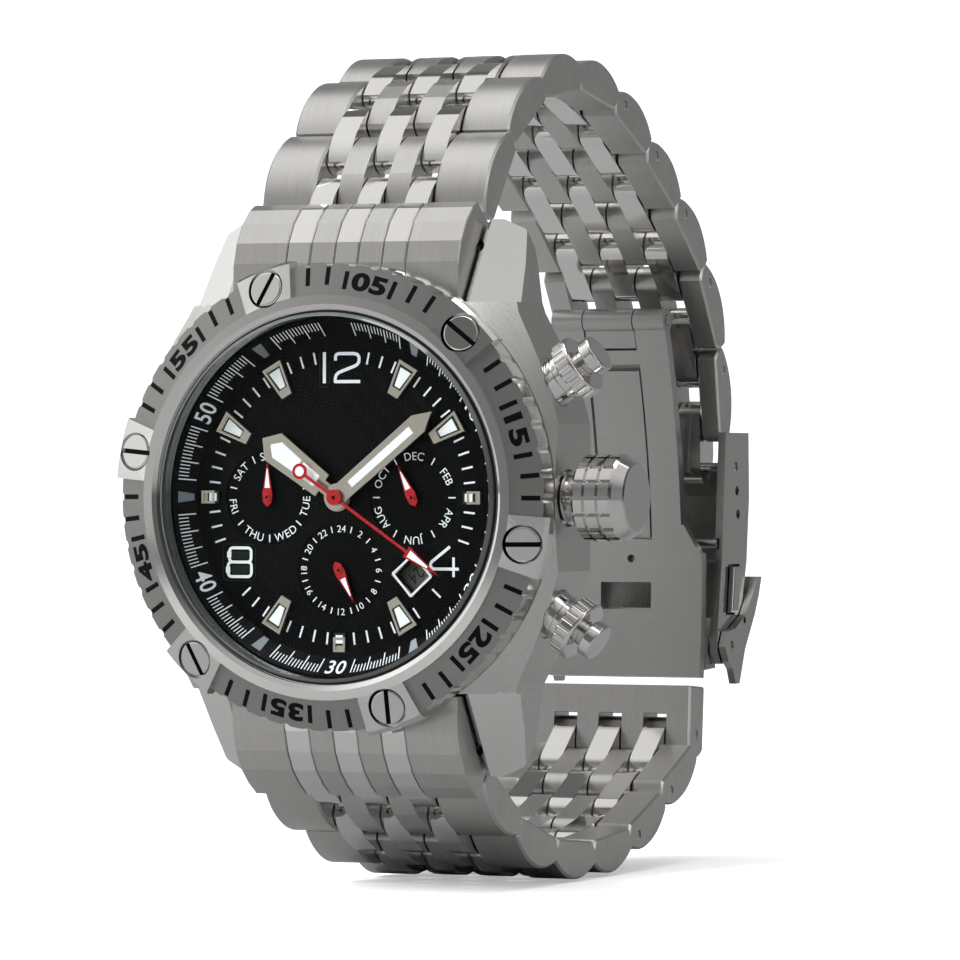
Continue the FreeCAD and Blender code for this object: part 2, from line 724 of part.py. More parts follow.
def make_movement_ring():
    body = ring(17.28, 14.15, -7.45, -0.45)
    return body.cut([x_rod(0.95, 13, 19, 0, CROWN_N), ring(17.4, 15.3, -7.0, -4.6)])


def make_movement_plate():
    plate = cylinder(DIM["plate_r"], 1.45, 0, 0, -2.55)
    plate = plate.cut([cylinder(0.95, 4, 0, 0, -4),
                       cylinder(0.26, 4, DIM["subdial_x"], 0, -4),
                       cylinder(0.26, 4, -DIM["subdial_x"], 0, -4),
                       cylinder(0.26, 4, 0, -DIM["subdial_y"], -4),
                       box(10.6, 15, -1.5, 1.5, -3, -2.15)])
    for (x, y), arbor_r in ((BARREL_AT, 0.30), (UPPER_LEFT_AT, 0.15), (BALANCE_AT, 0.12)):
        plate = plate.cut(cylinder(arbor_r + 0.03, 2, x, y, -3.0))
    return plate


def make_mainspring_barrel():
    """Toothed wheel with its arbor, and the drum under it."""
    radius, low, high, teeth = DIM["barrel_drum_r"], -3.15, -2.75, 60
    wheel = cylinder(radius - 0.28, high - low, 0, 0, low)
    tooth = prism([(-0.10, radius - 0.5), (0.10, radius - 0.5), (0.05, radius),
                   (-0.05, radius)], low, high)
    wheel = fuse(wheel, [spin(tooth, 360.0 * k / teeth) for k in range(teeth)])
    wheel = fuse(wheel, cylinder(0.30, 2.6, 0, 0, -4.6))
    wheel.translate(vec(*BARREL_AT, 0))
    return fuse(wheel, cylinder(radius - 0.7, 1.0, *BARREL_AT, -4.05))


def make_balance_wheel():
    x, y = BALANCE_AT
    radius = DIM["balance_r"]
    rim = ring(radius, radius - 0.55, -3.55, -3.1, x, y)
    return fuse(rim, [
        box(x - 0.25, x + 0.25, y - radius + 0.2, y + radius - 0.2, -3.45, -3.2),
        cylinder(0.12, 2.4, x, y, -4.45), cylinder(0.5, 0.6, x, y, -3.6)])


def make_bridges():
    low, thick = -5.15, 0.85
    x, y = BALANCE_AT
    bridges = cylinder(13.9, thick, 0, 0, low)
    # opening over the balance, and the gaps that part the bridges
    bridges = bridges.cut([cylinder(4.4, 2, x, y, -6), box(0.05, 0.35, -0.5, 14, -6, -4),
                           box(-14, 0.2, -1.6, -1.3, -6, -4), box(0.2, 14, -1.3, -1.0, -6, -4)])
    post_points = ((11.6, -4.2), (-12.4, 3.2), (-1.6, 12.3), (1.9, 12.6), (2.0, -12.2),
                   (-12.2, 0.2))
    posts = [cylinder(1.1, 1.94, post_x, post_y, -4.5) for post_x, post_y in post_points]
    cock_bar = box(-9.0, -7.0, -13.2, -5.4, low, -4.3).common(cylinder(13.4, 3, 0, 0, -6))
    cock = fuse(cock_bar, [cylinder(1.1, thick, x, y, low),
                           cylinder(1.0, 2.54, -7.2, -10.9, -5.1)])
    rotor_post = cylinder(0.75, 2.3, 0, 0, -6.9)
    bridges = bridges.fuse([cock, rotor_post] + posts)
    bridges = bridges.cut([cylinder(0.33, 3, *BARREL_AT, -7), cylinder(0.17, 2.4, x, y, -4.9),
                           box(10.6, 15, -1.5, 1.5, -4.95, -2), cylinder(0.16, 1, 4.5, -8, -4.6)])
    solids = [solid for solid in bridges.Solids if solid.Volume > 0.5]
    return Part.makeCompound(sorted(solids, key=lambda solid: -solid.Volume))


def make_rotor():
    """Half disc with two windows, a heavy rim and a bored hub."""
    low = -6.75

    def arc(radius):
        return [polar_point(radius, -5 - 170.0 * k / 16) for k in range(17)]

    body = new_body("rotor")
    sketch = new_sketch(body, "rotor_outline", "XY_Plane", low)
    rim = arc(DIM["rotor_r"])
    add_outline(sketch, rim + [(-12.3, 1.2), (-2.0, 1.9), (2.0, 1.9), (12.3, 1.2)])
    pad(body, sketch, 0.50)
    sketch = new_sketch(body, "rotor_windows", "XY_Plane", -5.0)
    for x_side in (-1, 1):
        add_outline(sketch, [(x_side * x, y) for x, y in
                             ((9.6, -0.3), (2.3, -0.3), (3.2, -3.6), (7.6, -6.6))])
    pocket(body, sketch, 3.0, name="Windows")
    sketch = new_sketch(body, "rotor_weight", "XY_Plane", low)
    add_outline(sketch, rim + arc(11.3)[::-1])
    pad(body, sketch, 1.10, "Weight")
    sketch = new_sketch(body, "rotor_hub", "XY_Plane", -7.25)
    add_circle(sketch, 0, 0, 2.3)
    pad(body, sketch, 1.2, "Hub")
    sketch = new_sketch(body, "rotor_bore", "XY_Plane", -4.0)
    add_circle(sketch, 0, 0, 0.80)
    pocket(body, sketch, 3.0, name="Bore")
    keep(body)


keep_shape("movement_ring", make_movement_ring())
keep_shape("movement_plate", make_movement_plate())
keep_shape("mainspring_barrel", make_mainspring_barrel())
keep_shape("balance_wheel", make_balance_wheel())
keep_shape("movement_bridges", make_bridges())
make_rotor()

# ------------------------------------------------------- crown, stem, crown tube
# (x, radius) of the crown tube
TUBE_PROFILE = [
    (17.6, 0.66), (23.95, 0.66), (23.95, 2.30), (23.70, 2.55), (23.45, 2.55), (23.25, 2.25),
    (22.95, 2.25), (22.75, 2.55), (22.50, 2.55), (22.30, 2.25), (22.10, 2.25), (21.95, 2.65),
    (21.60, 2.65), (21.60, 1.70), (17.6, 1.70),
]
keep(turned_body("crown_tube", "tube_profile", TUBE_PROFILE, "XY_Plane", "H_Axis"),
     at=(0, 0, CROWN_N))


def make_crown():
    radius, start, end = DIM["crown_r"], DIM["crown_start_x"], DIM["crown_end_x"]
    stem_r, face_r = DIM["stem_r"], DIM["crown_face_r"]
    profile = [(start - 0.6, stem_r), (start, stem_r), (start, radius - 0.35),
               (start + 0.35, radius), (start + 3.95, radius), (start + 4.25, radius - 0.15),
               (end - 0.10, face_r + 0.12), (end, face_r - 0.1), (end, 0), (start - 0.6, 0)]
    wire = Part.makePolygon([vec(x, y, 0) for x, y in profile + profile[:1]])
    crown = Part.Face(wire).revolve(vec(0, 0, 0), vec(1, 0, 0), 360)
    # blind bore for the stem, then the flutes, then the two ring grooves
    crown = crown.cut(x_rod(stem_r - 0.12, start - 0.8, start + 1.8))
    flute = box(start - 0.5, start + 4.05, -0.19, 0.19, radius - 0.42, radius + 1)
    for k in range(16):
        crown = crown.cut(spin(flute, 22.5 * k, axis=(1, 0, 0)))
    for x in (start + 1.22, start + 2.60):
        crown = crown.cut(x_rod(radius + 1, x, x + 0.30).cut(
            x_rod(radius - 0.36, x - 0.1, x + 0.4)))
    crown.translate(vec(0, 0, CROWN_N))
    return crown


def make_stem():
    radius, crown_start = DIM["stem_r"], DIM["crown_start_x"]
    stem = fuse(x_rod(radius, 10.9, crown_start - 0.62, 0, CROWN_N),
                [x_rod(radius - 0.17, crown_start - 0.7, crown_start + 1.7, 0, CROWN_N)])
    for y_min, y_max in ((0.40, 1), (-1, -0.40)):   # flats on the inner end
        stem = stem.cut(box(10.5, 13.8, y_min, y_max, CROWN_N - 1, CROWN_N + 1))
    return stem


def make_pinion():
    """Sleeve with twelve tooth gaps and a two-flat hole for the stem."""
    gaps = [spin(box(11.6, 13.5, -0.13, 0.13, 1.0, 2.0), 30 * k, axis=(1, 0, 0))
            for k in range(12)]
    for gap in gaps:
        gap.translate(vec(0, 0, CROWN_N))
    hole = x_rod(0.68, 11.0, 14, 0, CROWN_N).cut(
        [box(10.5, 14.5, 0.46, 1, CROWN_N - 1, CROWN_N + 1),
         box(10.5, 14.5, -1, -0.46, CROWN_N - 1, CROWN_N + 1)])
    return x_rod(1.22, 11.7, 13.4, 0, CROWN_N).cut(gaps + [hole])


keep_shape("crown", make_crown())
keep_shape("winding_stem", make_stem())
keep_shape("winding_pinion", make_pinion())


# --------------------------------------------------------------------- pushers
def make_pusher_tube(side):
    seat, outward = pusher_axis(side)
    neck_r, outer_end = DIM["pusher_neck_r"], 1.55
    tube = pusher_rod(side, neck_r, -2.45, outer_end)
    end_centre = seat + outward * outer_end
    end_edges = [e for e in circle_edges(tube) if (e.Curve.Center - end_centre).Length < 0.01]
    tube = soften(tube, end_edges, 0.2)
    groove = pusher_rod(side, 3.0, 0.75, 0.95).cut(pusher_rod(side, neck_r - 0.15, 0.7, 1.0))
    return tube.cut([pusher_rod(side, 0.80, -3, 2), pusher_rod(side, 1.32, -0.4, 2), groove])


def make_pusher_collar(side):
    seat, outward = pusher_axis(side)
    radius = DIM["pusher_collar_r"]
    collar = pusher_rod(side, radius, 1.65, 3.35)
    collar = soften(collar, circle_edges(collar), 0.28)
    flute = pusher_rod(side, 0.24, 1.60, 3.0)
    flute.translate(vec(0, 0, radius + 0.06))
    flutes = []
    for k in range(24):
        turned = flute.copy()
        turned.rotate(seat, outward, 15 * k)
        flutes.append(turned)
    return collar.cut(flutes + [pusher_rod(side, 1.27, 1.5, 4)])


def make_pusher_button(side):
    tip = pusher_rod(side, DIM["pusher_tip_r"], 4.0, 5.25)
    tip = soften(tip, circle_edges(tip), 0.22)
    return fuse(tip, [pusher_rod(side, 1.22, 0.6, 4.1), pusher_rod(side, 0.72, -1.9, 0.7)])


for side, tag in ((1, "upper"), (-1, "lower")):
    keep_shape("pusher_%s_collar" % tag, make_pusher_collar(side))
    keep_shape("pusher_%s_button" % tag, make_pusher_button(side))
keep_shape("pusher_tubes", Part.makeCompound([make_pusher_tube(side) for side in SIDES]))

# -------------------------------------------------------------------- bracelet
# Headings are in degrees: 0 runs straight away from the case, 90 towards the wrist.
PITCH = DIM["link_pitch"]
HALF_THICK = DIM["link_thick"] / 2.0
COLUMN_PITCH = DIM["column_pitch"]
HALF_GAP = DIM["column_gap"] / 2.0
HALF_COLUMN = COLUMN_PITCH / 2.0 - HALF_GAP
OUTER_START = 2.5 * COLUMN_PITCH + HALF_GAP     # inner face of the outer columns
FIRST_PIN = 0.25 * PITCH                        # pins along a piece
SECOND_PIN = 0.75 * PITCH
BLIND_WALL = 1.1                                # left at the end of a blind bore
CROWN_DROP = 0.42                               # fall of the crowned face over the pins

TOP_HEADINGS = [42.0, 63.0, 86.0, 104.0, 117.0, 123.0, 132.0, 152.0, 174.0]
BOTTOM_HEADINGS = [61.0, 77.0, 88.0, 99.0, 113.5, 122.0]
COVER_HEADING = 180.0
PLATE_HEADING = 176.0
TOP_START = (27.2, -7.0)        # (y, n) where the first link begins
BOTTOM_START = (-27.2, -7.0)


def link_piece(x_min, x_max, trim, bores, bevel):
    """One piece along +y from 0 to PITCH: flat inside, crowned outside, round ends.

    bores holds the (x start, x end) of the first and the second pin bore."""
    end_r = DIM["link_end_r"] - trim
    reach = (SECOND_PIN - FIRST_PIN) / 2.0
    crown_r = (reach * reach + CROWN_DROP * CROWN_DROP) / (2 * CROWN_DROP)
    crown = x_rod(crown_r, x_min, x_max, PITCH / 2.0, HALF_THICK - crown_r)
    slab = box(x_min, x_max, -2, PITCH + 2, -HALF_THICK, HALF_THICK)
    piece = x_rod(end_r, x_min, x_max, FIRST_PIN).fuse(
        [x_rod(end_r, x_min, x_max, SECOND_PIN),
         box(x_min, x_max, FIRST_PIN, SECOND_PIN, -end_r, end_r)])
    piece = piece.common(slab).common(crown).removeSplitter()
    piece = soften(piece, cross_edges(piece), bevel, chamfer=True)
    return piece.cut([x_rod(DIM["pin_bore_r"], start, end, y)
                      for (start, end), y in zip(bores, (FIRST_PIN, SECOND_PIN))])


INNER_PIECE = link_piece(-HALF_COLUMN, HALF_COLUMN, DIM["link_inner_trim"],
                         [(-HALF_COLUMN - 1, HALF_COLUMN + 1)] * 2, 0.14)


def step(point, heading, distance, side):
    """(y, n) after a distance along a heading."""
    angle = math.radians(heading)
    return (point[0] + side * math.cos(angle) * distance,
            point[1] - math.sin(angle) * distance)


def place_piece(shape, pivot, heading, side, pin=FIRST_PIN):
    """Turns a piece to its heading with the given pin of it on the pivot."""
    if side > 0:
        placed = spin(shape, -heading, axis=(1, 0, 0))
    else:
        placed = spin(shape.mirror(vec(0, 0, 0), vec(0, 1, 0)), heading, axis=(1, 0, 0))
    placed.translate(vec(0, *step(pivot, heading, -pin, side)))
    return placed


def inner_pieces(columns, pivot, heading, side, pin=FIRST_PIN):
    pieces = []
    for column in columns:
        piece = INNER_PIECE.copy()
        piece.translate(vec(column * COLUMN_PITCH, 0, 0))
        pieces.append(place_piece(piece, pivot, heading, side, pin))
    return pieces


def walk(headings, start, side, last):
    """(first pin, second pin, their headings) of each link, and the next pin's place."""
    around = [headings[0] - (headings[1] - headings[0])] + headings + [last]
    chain = []
    for k, heading in enumerate(headings):
        turn = (around[k + 2] - around[k]) / 8.0
        if k == 0:
            pin = step(start, heading - turn, PITCH / 4.0, side)
        second = step(pin, heading - turn, PITCH / 2.0, side)
        chain.append((pin, second, heading - turn, heading + turn))
        pin = step(second, heading + turn, PITCH / 2.0, side)
    return chain, pin


def make_link(first, second, first_heading, second_heading, side, width, through):
    """through: the first pin's bore is open on the 3 o'clock side."""
    half = width / 2.0
    blind = (OUTER_START - 1, half - BLIND_WALL)
    first_bore = (OUTER_START - 1, half + 1) if through else blind
    right = link_piece(OUTER_START, half, 0.0, [first_bore, blind], 0.22)
    left = link_piece(-half, -OUTER_START, 0.0,
                      [(-half + BLIND_WALL, -OUTER_START + 1)] * 2, 0.22)
    solids = [place_piece(piece, first, first_heading, side) for piece in (right, left)]
    solids += inner_pieces((-1, 1), first, first_heading, side)
    solids += inner_pieces((-2, 0, 2), second, second_heading, side)
    reach = half - 1.2
    solids.append(x_rod(DIM["pin_r"], -reach, half - 0.12 if through else reach, *first))
    solids.append(cross_rod(DIM["pin_r"], reach, second))
    return Part.makeCompound(solids)


def make_end_link(side, start, chain):
    """Solid seven-band block between the lugs, with three tongues for the first pin."""
    first_pin, _, heading, _ = chain[0]
    angle = math.radians(heading)
    cosine, sine = math.cos(angle), math.sin(angle)

    def beside(along, outward):
        """Point set off from the start along the heading and square to it."""
        return (start[0] + side * (cosine * along + sine * outward),
                start[1] - sine * along + cosine * outward)

    # (y, n) outlines: the raised bands, and the core sunk between them
    outline = [(side * y, n) for y, n in (
        (19.0, -0.75), (22.6, -0.75), (24.6, -1.35), (26.5, -2.55), (27.9, -4.10))]
    outline += [beside(-0.06, 2.15), beside(-0.06, -1.9), (side * 23.0, -8.6),
                (side * 19.0, -8.6)]
    core = [(side * y, n) for y, n in (
        (19.0, -1.05), (22.5, -1.05), (24.45, -1.65), (26.3, -2.85), (27.6, -4.35))]
    core += [beside(-0.36, 1.80), beside(-0.36, -1.9), (side * 23.0, -8.5),
             (side * 19.0, -8.5)]
    half = DIM["band_wide"] / 2.0
    spans = [(-half, -OUTER_START)]
    spans += [((i - 2.5) * COLUMN_PITCH + HALF_GAP, (i - 1.5) * COLUMN_PITCH - HALF_GAP)
              for i in range(5)]
    spans.append((OUTER_START, half))
    bands = []
    for x_min, x_max in spans:
        band = side_prism(outline, x_min, x_max)
        edges = [e for e in cross_edges(band) if e.BoundBox.ZMax > -6.0
                 and min(abs(e.BoundBox.YMin), abs(e.BoundBox.YMax)) > 20.0]
        bands.append(soften(band, edges, 0.10, chamfer=True))
    link = side_prism(core, -half, half).fuse(bands)
    case_and_bar = [cylinder(DIM["barrel_r"] + 0.12, 20, 0, 0, -12),
                    spring_bar_rod(0.95, half + 1, side)]
    link = link.cut(case_and_bar)
    # clear the rounded ends of the first pieces
    link = link.cut(cross_rod(DIM["link_end_r"] + 0.08, half + 1, first_pin))
    tongues = inner_pieces((-2, 0, 2), first_pin, heading - 7.0, side, SECOND_PIN)
    link = link.fuse([tongue.cut(case_and_bar) for tongue in tongues])
    # open the pin bore again through the tongues
    link = link.cut(cross_rod(DIM["pin_bore_r"], half + 1, first_pin))
    return largest(link)


def make_spring_bars():
    return Part.makeCompound([
        fuse(spring_bar_rod(0.88, 11.6, side), [spring_bar_rod(0.42, 13.2, side)])
        for side in SIDES])


top_chain, COVER_PIN = walk(TOP_HEADINGS, TOP_START, 1, COVER_HEADING)
bottom_chain, PLATE_PIN = walk(BOTTOM_HEADINGS, BOTTOM_START, -1, PLATE_HEADING)
for k, joint in enumerate(top_chain):
    width = DIM["band_wide"] - (DIM["band_wide"] - DIM["band_narrow"]) * (k / 8.0)
    keep_shape("link_top_%d" % (k + 1), make_link(*joint, 1, width, k >= 4))
for k, joint in enumerate(bottom_chain):
    width = DIM["band_wide"] - 0.82 * k
    keep_shape("link_bottom_%d" % (k + 1), make_link(*joint, -1, width, k >= 4))
keep_shape("end_link_top", make_end_link(1, TOP_START, top_chain))
keep_shape("end_link_bottom", make_end_link(-1, BOTTOM_START, bottom_chain))
keep_shape("lug_spring_bars", make_spring_bars())


# --------------------------------------------------- clasp end plate (6 o'clock)
def make_end_plate():
    """Drawn flat along +y from its leading end, then placed like a bottom link."""
    half, length = DIM["plate_half_x"], 7.75
    plate = cross_rod(DIM["link_end_r"], half, (FIRST_PIN, 0)).fuse(
        box(-half, half, FIRST_PIN, length, -HALF_THICK, HALF_THICK))
    plate = plate.common(
        box(-half, half, -1, length, -HALF_THICK, HALF_THICK)).removeSplitter()
    plate = soften(plate, cross_edges(plate), 0.22, chamfer=True)
    # slots for the last link's inner pieces
    slot_half = HALF_COLUMN + 0.10
    slot_end = FIRST_PIN + DIM["link_end_r"] - DIM["link_inner_trim"] + 0.35
    plate = plate.cut([box(column * COLUMN_PITCH - slot_half, column * COLUMN_PITCH + slot_half,
                           -3, slot_end, -5, 5) for column in (-2, 0, 2)])
    plate = plate.cut(
        x_rod(DIM["pin_bore_r"], -half + BLIND_WALL, half + BLIND_WALL, FIRST_PIN))
    plate = place_piece(plate, PLATE_PIN, PLATE_HEADING, -1)
    pin = x_rod(DIM["pin_r"], -half + 1.2, half - 0.12, *PLATE_PIN)
    return Part.makeCompound(plate.Solids + [pin])


keep_shape("clasp_end_plate", make_end_plate())

# ----------------------------------------------------------------------- clasp
BLADE_THICK = DIM["blade_thick"]
CLASP_HALF = DIM["clasp_half_x"]
UPPER_HALF = DIM["blade_upper_half_x"]
LOWER_HALF = DIM["blade_lower_half_x"]
STRIP_HALF = DIM["strip_half_x"]
# (y, n) of the hinges and pivots
BLADE_HINGE = (18.55, -65.55)       # between the two blades
COVER_HINGE = (-5.0, -72.95)        # between strip blade and cover
LOCK_PIVOT = (-15.85, -73.55)       # flip lock on the cover's walls
HINGE_BORE_R = 0.62
BLADE_START_Y, BLADE_END_Y = 19.6, -19.05


def blade_path():
    """(y, n) of the gentle arc on the blade's wrist side, from +y to -y."""
    path = []
    for k in range(21):
        y = BLADE_START_Y - (BLADE_START_Y - BLADE_END_Y) * k / 20.0
        path.append((y, -69.65 + 0.00672 * (y + 9.0) ** 2))
    return path


BLADE = blade_path()


def blade_point(wanted):
    """Point of the blade arc at a given y."""
    for (y_before, n_before), (y_after, n_after) in zip(BLADE, BLADE[1:]):
        if y_after <= wanted <= y_before:
            share = (y_before - wanted) / (y_before - y_after)
            return wanted, n_before + (n_after - n_before) * share


def offset_outward(path, distance):
    """Offsets a path running from +y to -y away from the wrist, towards -n."""
    out = []
    for i, (y, n) in enumerate(path):
        before, after = path[max(i - 1, 0)], path[min(i + 1, len(path) - 1)]
        run, rise = after[0] - before[0], after[1] - before[1]
        length = math.hypot(run, rise)
        out.append((y - rise / length * distance, n + run / length * distance))
    return out


def blade_band(y_high, y_low, near, far, half_x):
    """Stretch of the blade arc, between two distances outward from it."""
    path = [(y, n) for y, n in BLADE if y_low <= y <= y_high]
    if abs(path[0][0] - y_high) > 0.05:
        path.insert(0, blade_point(y_high))
    if abs(path[-1][0] - y_low) > 0.05:
        path.append(blade_point(y_low))
    outline = offset_outward(path, near) + offset_outward(path, far)[::-1]
    return side_prism(outline, -half_x, half_x)


def make_frame_blade():
    upper = blade_band(18.6, -5.0, 0, BLADE_THICK, UPPER_HALF)
    lower = blade_band(-6.0, BLADE_END_Y, 0, BLADE_THICK, LOWER_HALF)
    # tapered shoulder between the two widths
    shoulder = blade_band(-3.0, -7.0, 0, BLADE_THICK, LOWER_HALF)
    shoulder = shoulder.common(prism(
        [(-UPPER_HALF, -2.5), (UPPER_HALF, -2.5), (LOWER_HALF, -6.5), (LOWER_HALF, -8.5),
         (-LOWER_HALF, -8.5), (-LOWER_HALF, -6.5)], -80, -60))
    blade = upper.fuse([lower, shoulder])
    blade = blade.fuse(cross_rod(1.22, UPPER_HALF, BLADE_HINGE))
    slot_half = STRIP_HALF + 0.12
    blade = blade.cut([box(-slot_half, slot_half, 15.4, 25, -80, -60),
                       box(-3.05, 3.05, -4.6, 13.9, -80, -60),
                       cross_rod(HINGE_BORE_R, 20, BLADE_HINGE),
                       box(-2.9, 2.9, -12.0, -9.1, -80, -60),
                       cylinder(0.42, 20, 0.6, -6.6, -80)])
    # bored ears at both edges of the 6 o'clock end
    ear_outline = [(-14.9, -70.6), (-14.9, -71.4), (-16.6, -73.2), (-18.2, -73.5),
                   (-18.36, -70.6)]
    ears = []
    for x_side in (1, -1):
        x_min, x_max = sorted((x_side * (LOWER_HALF - 0.8), x_side * LOWER_HALF))
        ear = side_prism(ear_outline, x_min, x_max)
        ears.append(ear.cut(x_rod(0.45, x_min - 1, x_max + 1, -17.35, -72.3)))
    return largest(fuse(blade, ears))


def make_strip_blade():
    layer = blade_band(17.6, -4.6, BLADE_THICK + 0.12, BLADE_THICK + 1.12, STRIP_HALF)
    panel = blade_band(13.2, -4.35, 0.12, BLADE_THICK + 0.3, STRIP_HALF)
    tab = blade_band(18.2, 15.6, 0.10, BLADE_THICK + 0.3, STRIP_HALF)
    strip = layer.fuse([panel, tab, cross_rod(1.22, STRIP_HALF, BLADE_HINGE),
                        cross_rod(1.15, STRIP_HALF, COVER_HINGE)])
    strip = strip.cut([cross_rod(HINGE_BORE_R, 20, BLADE_HINGE),
                       cross_rod(HINGE_BORE_R, 20, COVER_HINGE)])
    return largest(strip.removeSplitter())


def make_cover():
    half, inner_half = CLASP_HALF, CLASP_HALF - DIM["clasp_wall"]
    floor = 1.05        # thickness of the outer plate
    pin_y, pin_n = COVER_PIN
    end_y = pin_y + 3.7
    outline = [(end_y, -73.9), (-6.0, -72.9), (-14.0, -71.7), (-16.6, -71.6), (-17.75, -72.6),
               (-17.75, -74.4), (-16.4, -75.9), (-12.5, -78.6), (-7.0, -80.2), (0.0, -80.9),
               (end_y, -80.7)]
    cover = side_prism(outline, -half, half)
    outer_edges = [e for e in cross_edges(cover) if e.BoundBox.ZMax < -74.3]
    cover = soften(cover, outer_edges, 0.5)
    hollow = [(end_y + 2, -60), (-30, -60), (-30, -74.3), (-15.6, -75.0), (-12.0, -77.5),
              (-6.8, -80.2 + floor), (0.0, -80.9 + floor), (end_y + 2, -80.7 + floor)]
    cover = cover.cut(side_prism(hollow, -inner_half, inner_half))
    # the outer plate stops short of the last link so that it can fold
    cover = cover.cut(box(-inner_half, inner_half, pin_y + 0.4, end_y + 3, -90, -60))
    holes = [cross_rod(0.55, 20, COVER_PIN)]
    for back in (2.5, 5.0):
        holes.append(cross_rod(0.5, 20, (pin_y - back, pin_n - 0.12 * back)))
    holes.append(cross_rod(HINGE_BORE_R, half - 0.4, COVER_HINGE))
    holes.append(cross_rod(0.55, 20, LOCK_PIVOT))
    # side windows for the push buttons
    holes.append(side_prism([(-7.2, -74.6), (-12.6, -73.9), (-12.6, -76.4), (-7.2, -77.8)],
                            -20, 20))
    return largest(cover.cut(holes))


def make_flip_lock():
    half = CLASP_HALF + 0.10
    wall = 0.75
    outline = [(-15.9, -71.75), (-17.5, -72.7), (-18.3, -73.9), (-19.9, -74.7), (-19.9, -75.8),
               (-16.2, -77.4), (-12.6, -80.1), (-10.6, -81.2), (-8.6, -82.0), (-8.6, -80.95),
               (-10.2, -79.7), (-12.6, -77.6), (-14.0, -74.6), (-14.3, -72.6)]
    hollow = [(-10, -60), (-19.3, -60), (-19.3, -74.75), (-16.0, -76.35), (-12.4, -79.05),
              (-10.5, -80.25), (-8.0, -81.25), (-8.0, -60)]
    lock = side_prism(outline, -half - wall, half + wall)
    lock = lock.cut([side_prism(hollow, -half, half), box(-half, half, -25, -17.2, -90, -60)])
    lock = lock.cut([cross_rod(0.55, 20, LOCK_PIVOT), cross_rod(0.35, 20, (-13.2, -77.2))])
    return largest(lock)


def make_clasp_button(x_side):
    """Button with a wider flange at its inner end."""
    inner_x, flange_x, outer_x = 7.4, 8.2, 10.35
    outline = [(-7.45, -74.85), (-12.35, -74.2), (-12.35, -76.1), (-7.45, -77.45)]
    flange = [(-7.0, -74.3), (-12.9, -73.6), (-12.9, -76.5), (-7.0, -78.1)]
    button = side_prism(outline, *sorted((x_side * inner_x, x_side * outer_x)))
    button = fuse(button, side_prism(flange, *sorted((x_side * inner_x, x_side * flange_x))))
    face_edges = [e for e in cross_edges(button) if
                  abs(max(abs(e.BoundBox.XMin), abs(e.BoundBox.XMax)) - outer_x) < 1e-6]
    return soften(button, face_edges, 0.3)


keep_shape("clasp_frame_blade", make_frame_blade())
keep_shape("clasp_strip_blade", make_strip_blade())
keep_shape("clasp_cover", make_cover())
keep_shape("clasp_flip_lock", make_flip_lock())
for x_side, tag in ((1, "right"), (-1, "left")):
    keep_shape("clasp_button_%s" % tag, make_clasp_button(x_side))
keep_shape("clasp_cover_pins", Part.makeCompound([
    cross_rod(0.50, CLASP_HALF - 0.15, COVER_PIN),
    cross_rod(0.56, CLASP_HALF - 0.5, COVER_HINGE),
    cross_rod(0.50, CLASP_HALF + 0.7, LOCK_PIVOT)]))
keep_shape("blade_hinge_pin", cross_rod(0.56, UPPER_HALF + 0.15, BLADE_HINGE))

# ------------------------------------------------------------- check and write
doc.recompute()
faults = []
for item in doc.Objects:
    states = [str(state) for state in item.State]
    if "Invalid" in states or "Error" in states:
        faults.append("%s %s" % (item.Label, states))
for piece in PIECES:
    shape = piece.Shape
    if shape.isNull() or not shape.isValid() or not shape.Solids:
        faults.append("%s shape null, invalid or without a solid" % piece.Label)
if faults:
    raise RuntimeError("; ".join(faults))
for piece in PIECES:
    piece.Shape.exportStep("parts/%s.step" % piece.Label)
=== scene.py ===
"""A steel day, month and 24-hour wristwatch on its link bracelet, standing upright on pale paper.

Two frames are used. Watch axes, in mm: x to 3 o'clock, y to 12 o'clock, height out of the dial,
with the origin at the dial centre. The CAD frame, in metres: +X to 3 o'clock, +Z to 12 o'clock,
-Y out of the dial, with the origin on the outer face of the crystal. Angles on the watch are
degrees clockwise from 12 o'clock.
"""
import bpy
import math
from mathutils import Matrix, Vector
from mathutils.geometry import tessellate_polygon


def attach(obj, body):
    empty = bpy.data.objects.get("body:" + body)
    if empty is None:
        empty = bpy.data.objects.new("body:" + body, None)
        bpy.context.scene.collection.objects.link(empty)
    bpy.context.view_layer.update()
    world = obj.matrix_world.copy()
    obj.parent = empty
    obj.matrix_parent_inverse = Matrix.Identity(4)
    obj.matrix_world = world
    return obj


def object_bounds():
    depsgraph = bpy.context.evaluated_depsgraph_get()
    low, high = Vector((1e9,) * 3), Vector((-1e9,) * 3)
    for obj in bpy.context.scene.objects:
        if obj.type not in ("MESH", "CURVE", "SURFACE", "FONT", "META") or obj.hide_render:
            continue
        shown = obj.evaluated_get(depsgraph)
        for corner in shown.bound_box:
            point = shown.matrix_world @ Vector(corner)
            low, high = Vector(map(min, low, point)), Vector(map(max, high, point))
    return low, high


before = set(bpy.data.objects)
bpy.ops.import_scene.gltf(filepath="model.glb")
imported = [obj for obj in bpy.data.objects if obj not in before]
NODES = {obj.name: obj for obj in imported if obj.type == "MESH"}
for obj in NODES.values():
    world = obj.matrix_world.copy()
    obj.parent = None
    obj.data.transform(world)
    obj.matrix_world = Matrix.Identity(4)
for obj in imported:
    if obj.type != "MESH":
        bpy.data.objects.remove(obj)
CAD_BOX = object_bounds()

MM = 0.001
FACE_HEIGHT = 3.95          # outer face of the crystal above the dial, mm

DIAL_CENTRE = (0, 0)
DAY_CENTRE = (-7.7, 0)      # the three sub-dials
MONTH_CENTRE = (7.7, 0)
HOUR24_CENTRE = (0, -7.0)
WELL_HEIGHT = -0.12         # floors of the sub-dials
DATE_ANGLE = 134.0          # where the date window lies

